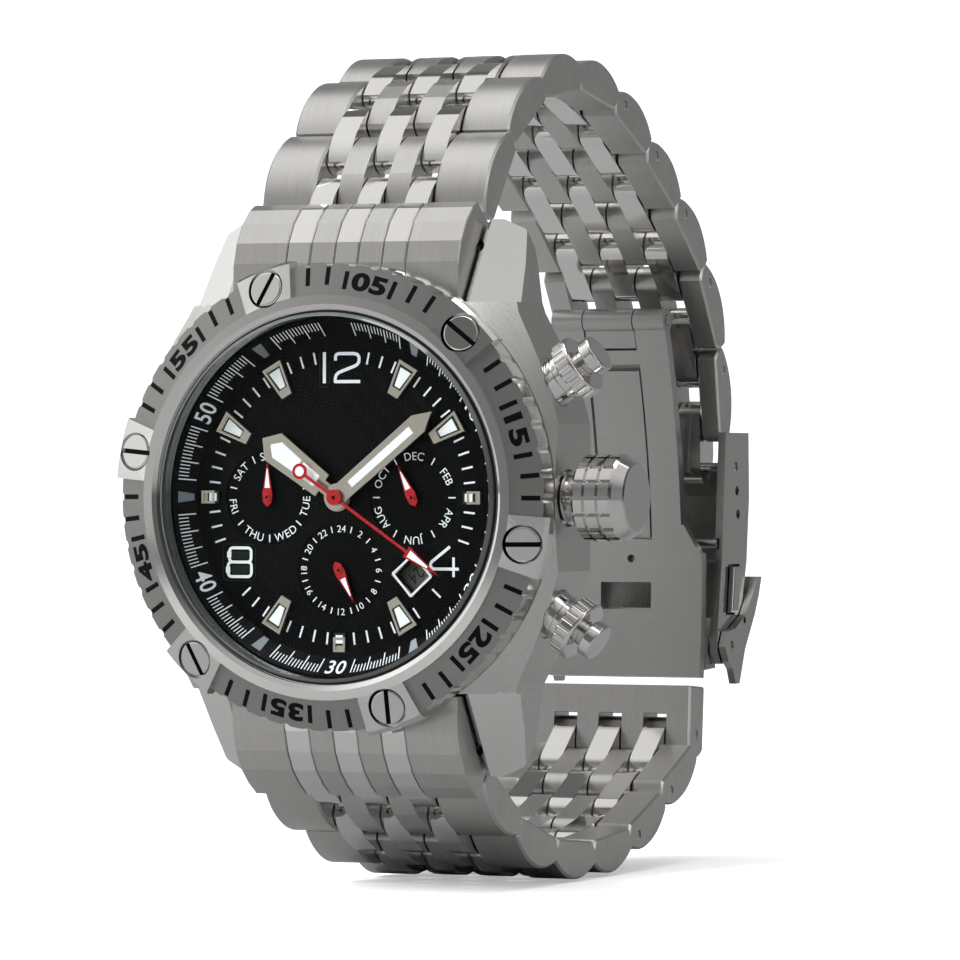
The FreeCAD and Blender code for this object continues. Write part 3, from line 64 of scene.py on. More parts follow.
HOUR_ANGLE = 305.5          # where the hands point
MINUTE_ANGLE = 51.0
SECONDS_ANGLE = 124.0


def to_frame(x, y, height):
    """Watch axes in mm to the CAD frame in metres."""
    return (x * MM, (FACE_HEIGHT - height) * MM, y * MM)


def polar(radius, deg):
    angle = math.radians(deg)
    return radius * math.sin(angle), radius * math.cos(angle)


# ---------------------------------------------------------------- node builders
MATERIALS = {}
BLACK = (0, 0, 0)
WHITE = (1, 1, 1)


class Nodes:
    """Adds nodes to a shader tree. An input is given as a socket to link or a value to set."""

    def __init__(self, tree):
        self.tree = tree

    def put(self, socket, value):
        if isinstance(value, bpy.types.NodeSocket):
            self.tree.links.new(value, socket)
        elif socket.type == "RGBA":
            socket.default_value = (*value, 1)
        else:
            socket.default_value = value

    def node(self, kind, inputs=None, **props):
        node = self.tree.nodes.new(kind)
        for key, value in props.items():
            setattr(node, key, value)
        for key, value in (inputs or {}).items():
            self.put(node.inputs[key], value)
        return node

    def math(self, operation, *operands):
        return self.node("ShaderNodeMath", dict(enumerate(operands)), operation=operation).outputs[0]

    def add(self, a, b):
        return self.math("ADD", a, b)

    def times(self, a, b):
        return self.math("MULTIPLY", a, b)

    def minus(self, a, b):
        return self.math("SUBTRACT", a, b)

    def range(self, factor, low, high):
        """Maps 0..1 to low..high."""
        return self.node("ShaderNodeMapRange", {0: factor, 3: low, 4: high}).outputs[0]

    def smooth(self, value, start, end):
        """A soft step from 0 at start to 1 at end."""
        step = self.node("ShaderNodeMapRange", {0: value, 1: start, 2: end},
                         interpolation_type="SMOOTHSTEP")
        return step.outputs[0]


class Material(Nodes):
    """A node material round a Principled BSDF, textured in object coordinates."""

    def __init__(self, name):
        material = bpy.data.materials.new(name)
        material.use_nodes = True
        super().__init__(material.node_tree)
        self.bsdf = self.tree.nodes["Principled BSDF"]
        self.object_coords = self.node("ShaderNodeTexCoord").outputs["Object"]
        MATERIALS[name] = material

    def surface(self, **values):
        """Sets inputs of the BSDF; underscores stand for spaces."""
        for key, value in values.items():
            self.put(self.bsdf.inputs[key.replace("_", " ")], value)

    def coords(self, frequency, rotation=(0, 0, 0)):
        mapping = self.node("ShaderNodeMapping", {
            "Vector": self.object_coords, "Scale": frequency, "Rotation": rotation})
        return mapping.outputs["Vector"]

    def noise(self, frequency, detail, roughness=0.5, rotation=(0, 0, 0)):
        """Noise of a frequency in 1/m, one number or one for each axis."""
        if not isinstance(frequency, tuple):
            frequency = (frequency,) * 3
        noise = self.node("ShaderNodeTexNoise", {
            "Vector": self.coords(frequency, rotation),
            "Scale": 1.0, "Detail": detail, "Roughness": roughness})
        return noise.outputs["Fac"]

    def ramp(self, factor, stops):
        ramp = self.node("ShaderNodeValToRGB", {"Fac": factor})
        elements = ramp.color_ramp.elements
        while len(elements) < len(stops):
            elements.new(0.5)
        for element, (position, color) in zip(elements, stops):
            element.position = position
            element.color = (*color, 1)
        return ramp.outputs["Color"]

    def mix(self, factor, a, b):
        return self.node("ShaderNodeMix", {0: factor, 6: a, 7: b}, data_type="RGBA").outputs[2]

    def bump(self, height, strength, distance):
        bump = self.node("ShaderNodeBump", {
            "Strength": strength, "Distance": distance, "Height": height})
        self.surface(Normal=bump.outputs["Normal"])


def shade(color, factor):
    return tuple(min(1, channel * factor) for channel in color)


# ------------------------------------------------------------------------ steel
def steel(name, tint, rough, lines=None, line_amount=0.1, angle=(0, 0, 0), strength=0.25):
    """Steel with patches of hair scratches, brushed if lines are given.

    lines: noise frequency for each axis in 1/m, high across the brushing and low along it.
    line_amount: how far the lines vary the tint. strength: of the bump.
    """
    mat = Material(name)
    cloud = mat.noise(90, detail=3.0)
    roughness = mat.range(cloud, rough * 0.85, rough * 1.2)
    if lines:
        coarse = mat.noise(lines, detail=4.0, roughness=0.65, rotation=angle)
        fine_lines = tuple(frequency * 3.1 for frequency in lines)
        fine = mat.noise(fine_lines, detail=2.0, roughness=0.6, rotation=angle)
        brushing = mat.add(mat.times(coarse, 0.65), mat.times(fine, 0.35))
        color = mat.mix(mat.range(brushing, 0.0, 1.0),
                        shade(tint, 1 - line_amount), shade(tint, 1 + line_amount))
        roughness = mat.add(roughness, mat.range(brushing, -0.10, 0.10))
    else:
        color = mat.mix(cloud, shade(tint, 0.94), shade(tint, 1.04))

    # scratches: thin borders of stretched cells, kept only inside soft patches
    cells = mat.node("ShaderNodeTexVoronoi", {
        "Scale": 1.0,
        "Vector": mat.coords((340, 2600, 900), rotation=(0.5, 0.9, 0.3)),
    }, feature="DISTANCE_TO_EDGE")
    borders = mat.ramp(cells.outputs["Distance"], [(0.0, WHITE), (0.012, BLACK)])
    patches = mat.ramp(mat.noise(260, detail=2.0), [(0.52, BLACK), (0.62, WHITE)])
    scratches = mat.times(borders, patches)
    roughness = mat.add(roughness, mat.times(scratches, 0.09))
    if lines:
        relief = mat.add(brushing, mat.times(scratches, -0.2))
    else:
        relief = mat.times(scratches, -0.4)

    mat.surface(Metallic=1.0, Base_Color=color, Roughness=mat.math("MAXIMUM", roughness, 0.03))
    mat.bump(relief, strength, distance=4e-6)


def blasted_steel(name, tint, rough, grain):
    """Steel with an even fine grain; grain is how far it varies the tint."""
    mat = Material(name)
    cloud = mat.noise(90, detail=3.0)
    roughness = mat.range(cloud, rough * 0.85, rough * 1.2)
    grains = mat.noise(9000, detail=3.0, roughness=0.7)
    color = mat.mix(mat.range(grains, 0.0, 1.0),
                    shade(tint, 1 - grain), shade(tint, 1 + grain * 0.5))
    mat.surface(Metallic=1.0, Base_Color=color, Roughness=mat.math("MAXIMUM", roughness, 0.03))
    mat.bump(grains, strength=0.5, distance=6e-6)


TINT = (0.62, 0.612, 0.60)
# on the links the brushing runs along the bracelet, so it is fine across X only
steel("link_brushed", TINT, rough=0.33, lines=(11000, 240, 240), line_amount=0.24, strength=0.45)
steel("link_polished", (0.86, 0.85, 0.84), rough=0.09, strength=0.10)
steel("case_brushed", TINT, rough=0.29, lines=(600, 11000, 500), line_amount=0.20, strength=0.4)
steel("case_polished", (0.79, 0.785, 0.775), rough=0.07, strength=0.08)
steel("bezel_satin", (0.76, 0.755, 0.745), rough=0.20, lines=(2600, 2600, 2600),
      line_amount=0.05, strength=0.12)
blasted_steel("bezel_blasted", (0.40, 0.395, 0.385), rough=0.46, grain=0.30)
steel("bezel_polished", (0.80, 0.79, 0.78), rough=0.06, strength=0.08)
steel("screw", (0.72, 0.715, 0.70), rough=0.20, lines=(9000, 500, 700),
      line_amount=0.08, strength=0.2, angle=(0, 0.5, 0))
steel("crown_steel", (0.74, 0.73, 0.72), rough=0.10, strength=0.1)
steel("blade_brushed", (0.56, 0.555, 0.545), rough=0.33, lines=(260, 420, 11000),
      line_amount=0.18, strength=0.4)
steel("cover_brushed", (0.46, 0.455, 0.445), rough=0.28, lines=(15000, 300, 300),
      line_amount=0.12, strength=0.3)
steel("clasp_polished", (0.60, 0.59, 0.58), rough=0.10, strength=0.1)
steel("pin_steel", (0.55, 0.54, 0.53), rough=0.25, lines=(2000, 9000, 9000), line_amount=0.08)
steel("back_brushed", TINT, rough=0.27, lines=(500, 500, 12000))
steel("movement_plate", (0.62, 0.60, 0.56), rough=0.24, lines=(8000, 300, 500),
      line_amount=0.12, angle=(0, 0.6, 0))


# ------------------------------------------------------- paints and other stuffs
def paint(name, color, rough, flake, coat=0.0):
    """Paint with fine flakes; flake is how far they vary the colour."""
    mat = Material(name)
    flakes = mat.noise(5200, detail=3.0, roughness=0.6)
    mat.surface(
        Base_Color=mat.mix(flakes, shade(color, 1 - flake), shade(color, 1 + flake)),
        Roughness=mat.range(flakes, rough * 0.8, rough * 1.3),
        Coat_Weight=coat,
        Coat_Roughness=0.08)
    mat.bump(flakes, strength=0.06, distance=2e-6)
    return mat


paint("red_paint", (0.55, 0.008, 0.012), rough=0.25, flake=0.08, coat=0.6)
# white lume with a painted glow from its emission, to brighten it
paint("lume_white_painted_glow", (0.95, 0.96, 0.95), rough=0.55, flake=0.02).surface(
    Emission_Color=(0.92, 0.97, 0.94), Emission_Strength=0.26)
paint("lume_grey", (0.36, 0.40, 0.43), rough=0.5, flake=0.06)
# white print with a painted glow from its emission, to brighten it
paint("print_white_painted_glow", (0.93, 0.95, 0.97), rough=0.45, flake=0.03).surface(
    Emission_Color=(0.9, 0.95, 1.0), Emission_Strength=0.18)
paint("print_dim", (0.38, 0.46, 0.54), rough=0.45, flake=0.06)
paint("marker_green", (0.003, 0.035, 0.008), rough=0.4, flake=0.10)
paint("edge_green", (0.001, 0.012, 0.002), rough=0.5, flake=0.10)
# black fill of the bezel marks and the pivot dots; on the bezel screws it is painted shade in the
# sunk faces
paint("black_fill_and_painted_shade", (0.003, 0.003, 0.003), rough=0.5, flake=0.25).surface(
    Specular_IOR_Level=0.12)
paint("gasket_black", (0.012, 0.012, 0.012), rough=0.5, flake=0.2)
paint("chapter_black", (0.0016, 0.0016, 0.0022), rough=0.38, flake=0.2).surface(
    Specular_IOR_Level=0.16)
paint("date_face", (0.11, 0.10, 0.09), rough=0.6, flake=0.3)
paint("date_print", (0.008, 0.008, 0.008), rough=0.6, flake=0.1)


def warm_metal(name, frequency, dark, light, rough_low, rough_high):
    mat = Material(name)
    streaks = mat.noise(frequency, detail=3.0)
    mat.surface(Metallic=1.0, Base_Color=mat.mix(streaks, dark, light),
                Roughness=mat.range(streaks, rough_low, rough_high))
    mat.bump(streaks, strength=0.10, distance=2e-6)


def dial_weave():
    """Black twill of square cells, its warp running towards 12 o'clock, coloured with a painted
    sheen.
    """
    cell = 0.00060          # metres
    positive = 1000.0       # whole cells added to keep the counts above zero
    mat = Material("dial_weave")
    split = mat.node("ShaderNodeSeparateXYZ", {0: mat.object_coords})
    column = mat.math("DIVIDE", split.outputs[0], cell)
    row = mat.math("DIVIDE", split.outputs[2], cell)
    diagonal = mat.add(mat.math("FLOOR", column), mat.math("FLOOR", row))
    twill = mat.math("MODULO", mat.add(diagonal, positive), 4.0)
    warp_on = mat.math("LESS_THAN", twill, 1.5)

    def off_middle(place):
        fraction = mat.math("FRACT", mat.add(place, positive))
        return mat.math("ABSOLUTE", mat.minus(fraction, 0.5))

    def woven(warp, weft):
        return mat.add(mat.times(warp_on, warp), mat.times(mat.minus(1.0, warp_on), weft))

    warp_fibre = mat.noise((52000, 400, 1500), detail=2.0)
    weft_fibre = mat.noise((1500, 400, 52000), detail=2.0)
    thread = woven(mat.minus(0.5, off_middle(column)), mat.minus(0.5, off_middle(row)))
    fibre = woven(warp_fibre, weft_fibre)
    # painted sheen: warp cells lighter than weft cells, each thread lightest along its middle and
    # darker at its edges as painted shade
    painted_thread_sheen = mat.times(mat.add(0.25, warp_on), mat.times(thread, fibre))
    color = mat.ramp(painted_thread_sheen, [(0.0, (0.0008, 0.0008, 0.0010)),
                                  (0.35, (0.0042, 0.0040, 0.0038)),
                                  (0.7, (0.012, 0.0112, 0.0098))])
    mat.surface(Base_Color=color, Roughness=mat.range(fibre, 0.30, 0.50),
                Specular_IOR_Level=0.16)
    mat.bump(thread, strength=0.30, distance=2e-5)


def dial_plain():
    mat = Material("dial_plain")
    speckle = mat.noise(9000, detail=2.0)
    mat.surface(Base_Color=mat.mix(speckle, (0.0008, 0.0008, 0.0010), (0.0020, 0.0020, 0.0024)),
                Roughness=mat.range(speckle, 0.30, 0.42),
                Specular_IOR_Level=0.12)
    mat.bump(speckle, strength=0.05, distance=1e-6)


def crystal():
    """Clear straight through with a weak mirror on top, so light still reaches the dial."""
    mat = Material("crystal")
    mat.tree.nodes.remove(mat.bsdf)
    clear = mat.node("ShaderNodeBsdfTransparent", {0: (0.97, 0.985, 0.99)})
    smear = mat.noise((120, 120, 160), detail=3.0)
    mirror = mat.node("ShaderNodeBsdfGlossy", {"Roughness": mat.range(smear, 0.004, 0.03)})
    fresnel = mat.node("ShaderNodeFresnel", {"IOR": 1.36})
    both = mat.node("ShaderNodeMixShader", {
        0: mat.times(fresnel.outputs[0], 0.22), 1: clear.outputs[0], 2: mirror.outputs[0]})
    mat.put(mat.tree.nodes["Material Output"].inputs["Surface"], both.outputs[0])


def crystal_edge():
    mat = Material("crystal_edge")
    cloud = mat.noise(500, detail=2.0)
    mat.surface(Base_Color=mat.mix(cloud, (0.10, 0.115, 0.11), (0.17, 0.19, 0.18)),
                Roughness=0.12, Coat_Weight=1.0, Coat_Roughness=0.03)
    mat.bump(cloud, strength=0.03, distance=2e-6)


warm_metal("champagne", frequency=(7000, 900, 7000), dark=(0.86, 0.76, 0.62),
           light=(0.95, 0.87, 0.75), rough_low=0.26, rough_high=0.40)
dial_weave()
dial_plain()
warm_metal("brass", frequency=(3000, 600, 9000), dark=(0.66, 0.48, 0.20),
           light=(0.80, 0.62, 0.30), rough_low=0.15, rough_high=0.32)
crystal()
crystal_edge()


# ------------------------------------------------- materials onto the CAD pieces
def assign(piece, *names):
    mesh = NODES[piece].data
    mesh.materials.clear()
    for name in names:
        mesh.materials.append(MATERIALS[name])
    return mesh


def assign_by_face(piece, names, rule):
    """rule(centre, normal), both in watch axes, gives the index of each face's material."""
    for face in assign(piece, *names).polygons:
        centre, normal = face.center, face.normal
        face.material_index = rule((centre.x / MM, centre.z / MM, FACE_HEIGHT - centre.y / MM),
                                   (normal.x, normal.z, -normal.y))


def link_rule(centre, normal):
    """Outer and middle bands brushed, the rest polished."""
    across = abs(centre[0])
    return 0 if across > 6.42 or 1.31 < across < 3.81 else 1


def case_rule(centre, normal):
    """Brushed flanks, polished lug facets and upper case, brushed back."""
    _, y, height = centre
    if (abs(y) > 18.6 and normal[2] > 0.45) or height > -0.2:
        return 1
    return 2 if normal[2] < -0.6 else 0


def bezel_rule(centre, normal):
    """Polished top rim and inner wall, blasted fields between six satin blocks."""
    x, y, height = centre
    if (normal[2] > 0.9 and height > 3.7) or math.hypot(x, y) < 19.45:
        return 1
    if normal[2] > 0.8 and height < 3.36:
        turn = (math.degrees(math.atan2(x, y)) + 18.0) % 60.0
        if min(turn, 60.0 - turn) > 7.3:
            return 2
    return 0


def screw_rule(centre, normal):
    """Outward faces sunk below the sloping heads are black: painted shade in these recesses."""
    x, y, height = centre
    return 1 if normal[2] > 0.85 and height < 3.0 - 0.25 * (math.hypot(x, y) - 21.05) else 0


def crystal_rule(centre, normal):
    """The outer wall and its chamfer get the edge material."""
    return 1 if math.hypot(centre[0], centre[1]) > 17.3 and abs(normal[2]) < 0.95 else 0


def side_rule(centre, normal):
    """Faces square to the width of the bracelet are polished."""
    return 1 if abs(normal[0]) > 0.9 else 0


LINKS = (["link_top_%d" % i for i in range(1, 10)] + ["link_bottom_%d" % i for i in range(1, 7)]
         + ["end_link_top", "end_link_bottom"])
for link in LINKS:
    assign_by_face(link, ("link_brushed", "link_polished"), link_rule)
assign_by_face("case_middle", ("case_brushed", "case_polished", "back_brushed"), case_rule)
assign_by_face("bezel_ring", ("bezel_satin", "bezel_polished", "bezel_blasted"), bezel_rule)
# the sunk faces of the screws are painted black as shade in the recesses
assign_by_face("bezel_screws", ("screw", "black_fill_and_painted_shade"), screw_rule)
assign_by_face("crystal", ("crystal", "crystal_edge"), crystal_rule)
assign_by_face("dial", ("dial_weave", "dial_plain"), lambda centre, normal: 0)
for piece in ("clasp_cover", "clasp_flip_lock"):
    assign_by_face(piece, ("cover_brushed", "clasp_polished"), side_rule)

# material: the CAD pieces made wholly of it
WHOLE_PIECES = {
    "link_brushed": ("clasp_end_plate",),
    "crown_steel": ("crown", "crown_tube", "pusher_upper_button", "pusher_lower_button",
                    "pusher_upper_collar", "pusher_lower_collar", "pusher_tubes"),
    "gasket_black": ("crystal_gasket", "movement_ring"),
    "chapter_black": ("chapter_ring",),
    "champagne": ("hour_markers", "hour_hand", "minute_hand"),
    "date_face": ("date_disc",),
    "red_paint": ("seconds_hand", "day_hand", "month_hand", "hour24_hand"),
    "back_brushed": ("case_back_ring",),
    "crystal": ("case_back_glass",),
    "screw": ("case_back_screws",),
    "pin_steel": ("lug_spring_bars", "clasp_cover_pins", "blade_hinge_pin", "winding_stem",
                  "winding_pinion"),
    "movement_plate": ("movement_plate", "movement_bridges", "rotor"),
    "brass": ("balance_wheel", "mainspring_barrel"),
    "blade_brushed": ("clasp_frame_blade", "clasp_strip_blade"),
    "clasp_polished": ("clasp_button_right", "clasp_button_left"),
}
for material_name, pieces in WHOLE_PIECES.items():
    for piece in pieces:
        assign(piece, material_name)


# ------------------------------------------------------------- drawing and solids
def add_piece(name, vertices, faces, material, body, bevel=0.0):
    """Makes a mesh object that moves with a body; bevel in mm."""
    mesh = bpy.data.meshes.new(name)
    mesh.from_pydata(vertices, [], faces)
    mesh.materials.append(MATERIALS[material])
    mesh.update()
    piece = bpy.data.objects.new(name, mesh)
    bpy.context.scene.collection.objects.link(piece)
    if bevel:
        edge = piece.modifiers.new("edge", "BEVEL")
        edge.width = bevel * MM
        edge.segments = 2
        edge.limit_method = "ANGLE"
    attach(piece, body)


def circle(radius, count, centre=DIAL_CENTRE):
    angles = [2 * math.pi * i / count for i in range(count)]
    return [(centre[0] + radius * math.cos(a), centre[1] + radius * math.sin(a)) for a in angles]


def rounded_box(left, right, bottom, top, radius, steps=5):
    """Outline running anticlockwise from the right end of the top right corner."""
    corners = [(right - radius, top - radius), (left + radius, top - radius),
               (left + radius, bottom + radius), (right - radius, bottom + radius)]
    outline = []
    for quarter, (x, y) in enumerate(corners):
        for i in range(steps + 1):
            angle = math.radians(90 * quarter + 90.0 * i / steps)
            outline.append((x + radius * math.cos(angle), y + radius * math.sin(angle)))
    return outline


def glyphs(string, size, stretch, bold):
    """Points and triangles of a string centred on its own middle; size is its capital height."""
    curve = bpy.data.curves.new("glyphs", "FONT")
    curve.body = string
    curve.size = size / 0.72        # capital height as a share of the font size
    curve.resolution_u = 4
    curve.offset = bold
    curve.space_character = 1.05
    holder = bpy.data.objects.new("glyphs", curve)
    bpy.context.scene.collection.objects.link(holder)
    bpy.context.view_layer.update()
    evaluated = holder.evaluated_get(bpy.context.evaluated_depsgraph_get())
    mesh = evaluated.to_mesh()
    points = [(v.co.x * stretch, v.co.y) for v in mesh.vertices]
    triangles = []
    for face in mesh.polygons:
        corners = list(face.vertices)
        for i in range(1, len(corners) - 1):
            triangles.append((corners[0], corners[i], corners[i + 1]))
    evaluated.to_mesh_clear()
    bpy.data.objects.remove(holder)
    bpy.data.curves.remove(curve)
    xs = [x for x, _ in points]
    ys = [y for _, y in points]
    middle_x = (min(xs) + max(xs)) / 2
    middle_y = (min(ys) + max(ys)) / 2
    return [(x - middle_x, y - middle_y) for x, y in points], triangles


def on_arc(centre, radius, deg, outward=True):
    """Maps text (right, up) onto a circle, its middle at deg, its top outward or inward."""
    side = 1 if outward else -1

    def place(right, up):
        angle = math.radians(deg) + side * right / radius
        reach = radius + side * up
        return centre[0] + reach * math.sin(angle), centre[1] + reach * math.cos(angle)
    return place


def level(height):
    return lambda x, y: height


class Sheet:
    """Collects flat polygons in watch axes and lays them just above a surface.

    surface(x, y) gives the height of the surface; lift is the gap above it.
    """

    def __init__(self, surface, lift=0.012):
        self.surface = surface
        self.lift = lift
        self.vertices = []
        self.faces = []

    def triangles(self, points, triangles):
        base = len(self.vertices)
        for x, y in points:
            self.vertices.append(to_frame(x, y, self.surface(x, y) + self.lift))
        for triangle in triangles:
            a, b, c = (points[i] for i in triangle)
            area = (b[0] - a[0]) * (c[1] - a[1]) - (b[1] - a[1]) * (c[0] - a[0])
            corners = triangle if area > 0 else reversed(triangle)
            self.faces.append([base + i for i in corners])

    def polygon(self, points):
        self.triangles(points, tessellate_polygon([[Vector((x, y, 0)) for x, y in points]]))

    def stroke(self, path, width, closed=False, raised=0.0):
        """A line with round knees. Each part sits a little higher, so no two share a plane."""
        count = len(path)
        rest = self.lift
        self.lift += raised
        for i in range(count if closed else count - 1):
            a, b = path[i], path[(i + 1) % count]
            dx, dy = b[0] - a[0], b[1] - a[1]
            length = math.hypot(dx, dy)
            ox, oy = -dy / length * width / 2, dx / length * width / 2
            self.polygon([(a[0] + ox, a[1] + oy), (b[0] + ox, b[1] + oy),
                          (b[0] - ox, b[1] - oy), (a[0] - ox, a[1] - oy)])
            self.lift += 0.001
        for i in range(count) if closed else range(1, count - 1):
            self.polygon(circle(width / 2, 8, path[i]))
            self.lift += 0.001
        self.lift = rest

    def ring(self, centre, inner, outer, segments):
        for i in range(segments):
            start = 360.0 * i / segments
            end = 360.0 * (i + 1) / segments
            corners = (polar(inner, start), polar(outer, start),
                       polar(outer, end), polar(inner, end))
            self.polygon([(centre[0] + x, centre[1] + y) for x, y in corners])

    def radial(self, inner, outer, deg, width, outer_width=None):
        """A bar along a radius of the dial, tapered if outer_width is given."""
        outer_width = width if outer_width is None else outer_width
        s, c = polar(1, deg)
        corners = [(inner, -width / 2), (outer, -outer_width / 2),
                   (outer, outer_width / 2), (inner, width / 2)]
        self.polygon([(r * s + t * c, r * c - t * s) for r, t in corners])

    def text(self, string, size, place, stretch=1.0, bold=0.0):
        points, triangles = glyphs(string, size, stretch, bold)
        self.triangles([place(right, up) for right, up in points], triangles)

    def finish(self, name, material, body):
        add_piece(name, self.vertices, self.faces, material, body)


def prisms(name, material, body, items, bevel=0.0):
    """items: (anticlockwise outline, bottom height, top height) in watch axes."""
    vertices, faces = [], []
    for outline, bottom, top in items:
        base = len(vertices)
        n = len(outline)
        vertices += [to_frame(x, y, bottom) for x, y in outline]
        vertices += [to_frame(x, y, top) for x, y in outline]
        faces.append([base + n + i for i in range(n)])
        faces.append([base + n - 1 - i for i in range(n)])
        for i in range(n):
            j = (i + 1) % n
            faces.append([base + i, base + j, base + n + j, base + n + i])
    add_piece(name, vertices, faces, material, body, bevel)


def taper(start, end, start_half, end_half):
    """A symmetric bar pointing to 12, from its ends and half widths."""
    return [(-start_half, start), (start_half, start), (end_half, end), (-end_half, end)]


def turned(outline, deg, centre=DIAL_CENTRE):
    """An outline drawn pointing to 12, turned clockwise and moved to centre."""
    s, c = polar(1, deg)
    return [(x * c + y * s + centre[0], -x * s + y * c + centre[1]) for x, y in outline]


# --------------------------------------------------------------------- dial print
SKIPPED_MINUTES = (1, 19, 21, 23, 39, 41, 59)

# centre lines of the printed numerals, (x, y)
TWELVE_ONE = [(-1.81, 10.98), (-1.81, 13.97)]
TWELVE_TWO = [
    (-0.62, 13.15), (-0.62, 13.55), (-0.50, 13.75), (-0.25, 13.82), (1.35, 13.82), (1.70, 13.74),
    (1.89, 13.50), (1.90, 13.10), (1.76, 12.82), (1.45, 12.62), (0.20, 12.18), (-0.30, 11.98),
    (-0.55, 11.74), (-0.63, 11.42), (-0.64, 11.13), (2.02, 11.13)]
FOUR_HOOK = [(11.54, -4.67), (9.62, -6.12), (9.50, -6.35), (9.56, -6.66), (9.80, -6.80),
             (12.47, -6.80)]
FOUR_STEM = [(11.93, -5.68), (11.93, -7.56)]

EIGHT_LEFT, EIGHT_RIGHT = -12.20, -9.58
EIGHT_BOTTOM, EIGHT_TOP = -7.70, -4.92
EIGHT_WAIST = (EIGHT_BOTTOM + EIGHT_TOP) / 2 + 0.02
UPPER_LEFT = EIGHT_LEFT + 0.22      # the upper loop is the narrower one
LOWER_LEFT = EIGHT_LEFT + 0.10


def dial_print():
    sheet = Sheet(level(0.0))
    for minute in range(60):
        if minute % 5 and minute not in SKIPPED_MINUTES:
            sheet.radial(13.05, 14.22, 6 * minute, width=0.19)
    sheet.stroke(TWELVE_ONE, width=0.33)
    sheet.stroke(TWELVE_TWO, width=0.31)
    upper = rounded_box(UPPER_LEFT, EIGHT_RIGHT - 0.05, EIGHT_WAIST, EIGHT_TOP, radius=0.38)
    lower = rounded_box(LOWER_LEFT, EIGHT_RIGHT, EIGHT_BOTTOM, EIGHT_WAIST, radius=0.38)
    sheet.stroke(upper, width=0.29, closed=True)
    sheet.stroke(lower, width=0.29, closed=True, raised=0.03)
    # thick left sides of the 8
    sheet.stroke([(UPPER_LEFT, EIGHT_WAIST + 0.45), (UPPER_LEFT, EIGHT_TOP - 0.35)],
                 width=0.46, raised=0.07)
    sheet.stroke([(LOWER_LEFT, EIGHT_BOTTOM + 0.35), (LOWER_LEFT, EIGHT_WAIST - 0.45)],
                 width=0.46, raised=0.07)
    sheet.stroke(FOUR_HOOK, width=0.29)
    sheet.stroke(FOUR_STEM, width=0.26, raised=0.02)
    sheet.finish("dial_print", "print_white_painted_glow", "case")


def numeral_green_edge():
    """Green line round the 8, fills in its loops, and lines beside the 12."""
    sheet = Sheet(level(0.0), lift=0.008)
    sheet.stroke(rounded_box(EIGHT_LEFT - 0.45, EIGHT_RIGHT + 0.42,
                             EIGHT_BOTTOM - 0.40, EIGHT_TOP + 0.38, radius=0.5),
                 width=0.07, closed=True)
    for bottom, top in ((EIGHT_WAIST + 0.25, EIGHT_TOP - 0.28),
                        (EIGHT_BOTTOM + 0.28, EIGHT_WAIST - 0.25)):
        sheet.polygon(rounded_box(EIGHT_LEFT + 0.45, EIGHT_RIGHT - 0.25, bottom, top, radius=0.25))
    sheet.stroke([(-1.35, 10.62), (-2.30, 10.62), (-2.30, 13.9)], width=0.08)
    sheet.stroke([(-1.28, 10.9), (-1.28, 13.2)], width=0.06)
    sheet.finish("numeral_green_edge", "edge_green", "case")


def subdial_scale(sheet, centre, labels, inward, size, radius, stretch, bar_ends, bar_width):
    """Labels round a sub-dial with a bar between each two; inward lists those read from below."""
    step = 360.0 / len(labels)
    for i, label in enumerate(labels):
        angle = step * i
        sheet.text(label, size, on_arc(centre, radius, angle, i not in inward), stretch)
        bar = [polar(end, angle + step / 2) for end in bar_ends]
        sheet.stroke([(centre[0] + x, centre[1] + y) for x, y in bar], bar_width)


def subdial_print():
    sheet = Sheet(level(WELL_HEIGHT))
    words = dict(size=0.80, radius=3.98, stretch=0.98, bar_ends=(3.62, 4.36), bar_width=0.13)
    subdial_scale(sheet, DAY_CENTRE, ["SUN", "MON", "TUE", "WED", "THU", "FRI", "SAT"],
                  inward=(2, 3, 4, 5), **words)
    subdial_scale(sheet, MONTH_CENTRE, ["DEC", "FEB", "APR", "JUN", "AUG", "OCT"],
                  inward=(), **words)
    subdial_scale(sheet, HOUR24_CENTRE, ["24"] + [str(2 * i) for i in range(1, 12)],
                  inward=(4, 5, 6, 7, 8), size=0.68, radius=4.00, stretch=1.0,
                  bar_ends=(3.70, 4.32), bar_width=0.12)
    sheet.finish("subdial_print", "print_white_painted_glow", "case")


def lacquer_rings():
    """Plain lacquer on the sub-dial floors and under the minute track."""
    floors = Sheet(level(WELL_HEIGHT), lift=0.004)
    for centre in (DAY_CENTRE, MONTH_CENTRE, HOUR24_CENTRE):
        floors.ring(centre, inner=0.30, outer=4.60, segments=72)
    floors.finish("subdial_floors", "dial_plain", "case")
    track = Sheet(level(0.0), lift=0.004)
    track.ring(DIAL_CENTRE, inner=12.95, outer=15.44, segments=120)
    track.finish("minute_track", "dial_plain", "case")


# ------------------------------------- sloping ring between the dial and the crystal
def rehaut(x, y):
    """Height of the slope: from 0.02 at radius 15.45, rising 1.88 over 1.72."""
    return 0.02 + (math.hypot(x, y) - 15.45) * (1.88 / 1.72)


def rehaut_print():
    """Fifth-of-a-minute ticks and the even five-minute numbers, with gaps at each hour."""
    sheet = Sheet(rehaut, lift=0.015)
    for i in range(300):
        angle = 1.2 * i
        past_hour = angle % 30.0
        if min(past_hour, 30.0 - past_hour) < 5.9:
            continue
        if i % 5 == 0:
            sheet.radial(15.60, 16.85, angle, width=0.12)
        else:
            sheet.radial(16.15, 16.85, angle, width=0.10)
    for hour in (2, 4, 6, 8, 10):
        place = on_arc(DIAL_CENTRE, 16.30, 30 * hour, outward=hour in (2, 10))
        sheet.text(str(5 * hour), 1.22, place, stretch=1.22, bold=0.02)
    sheet.finish("rehaut_print", "print_white_painted_glow", "case")


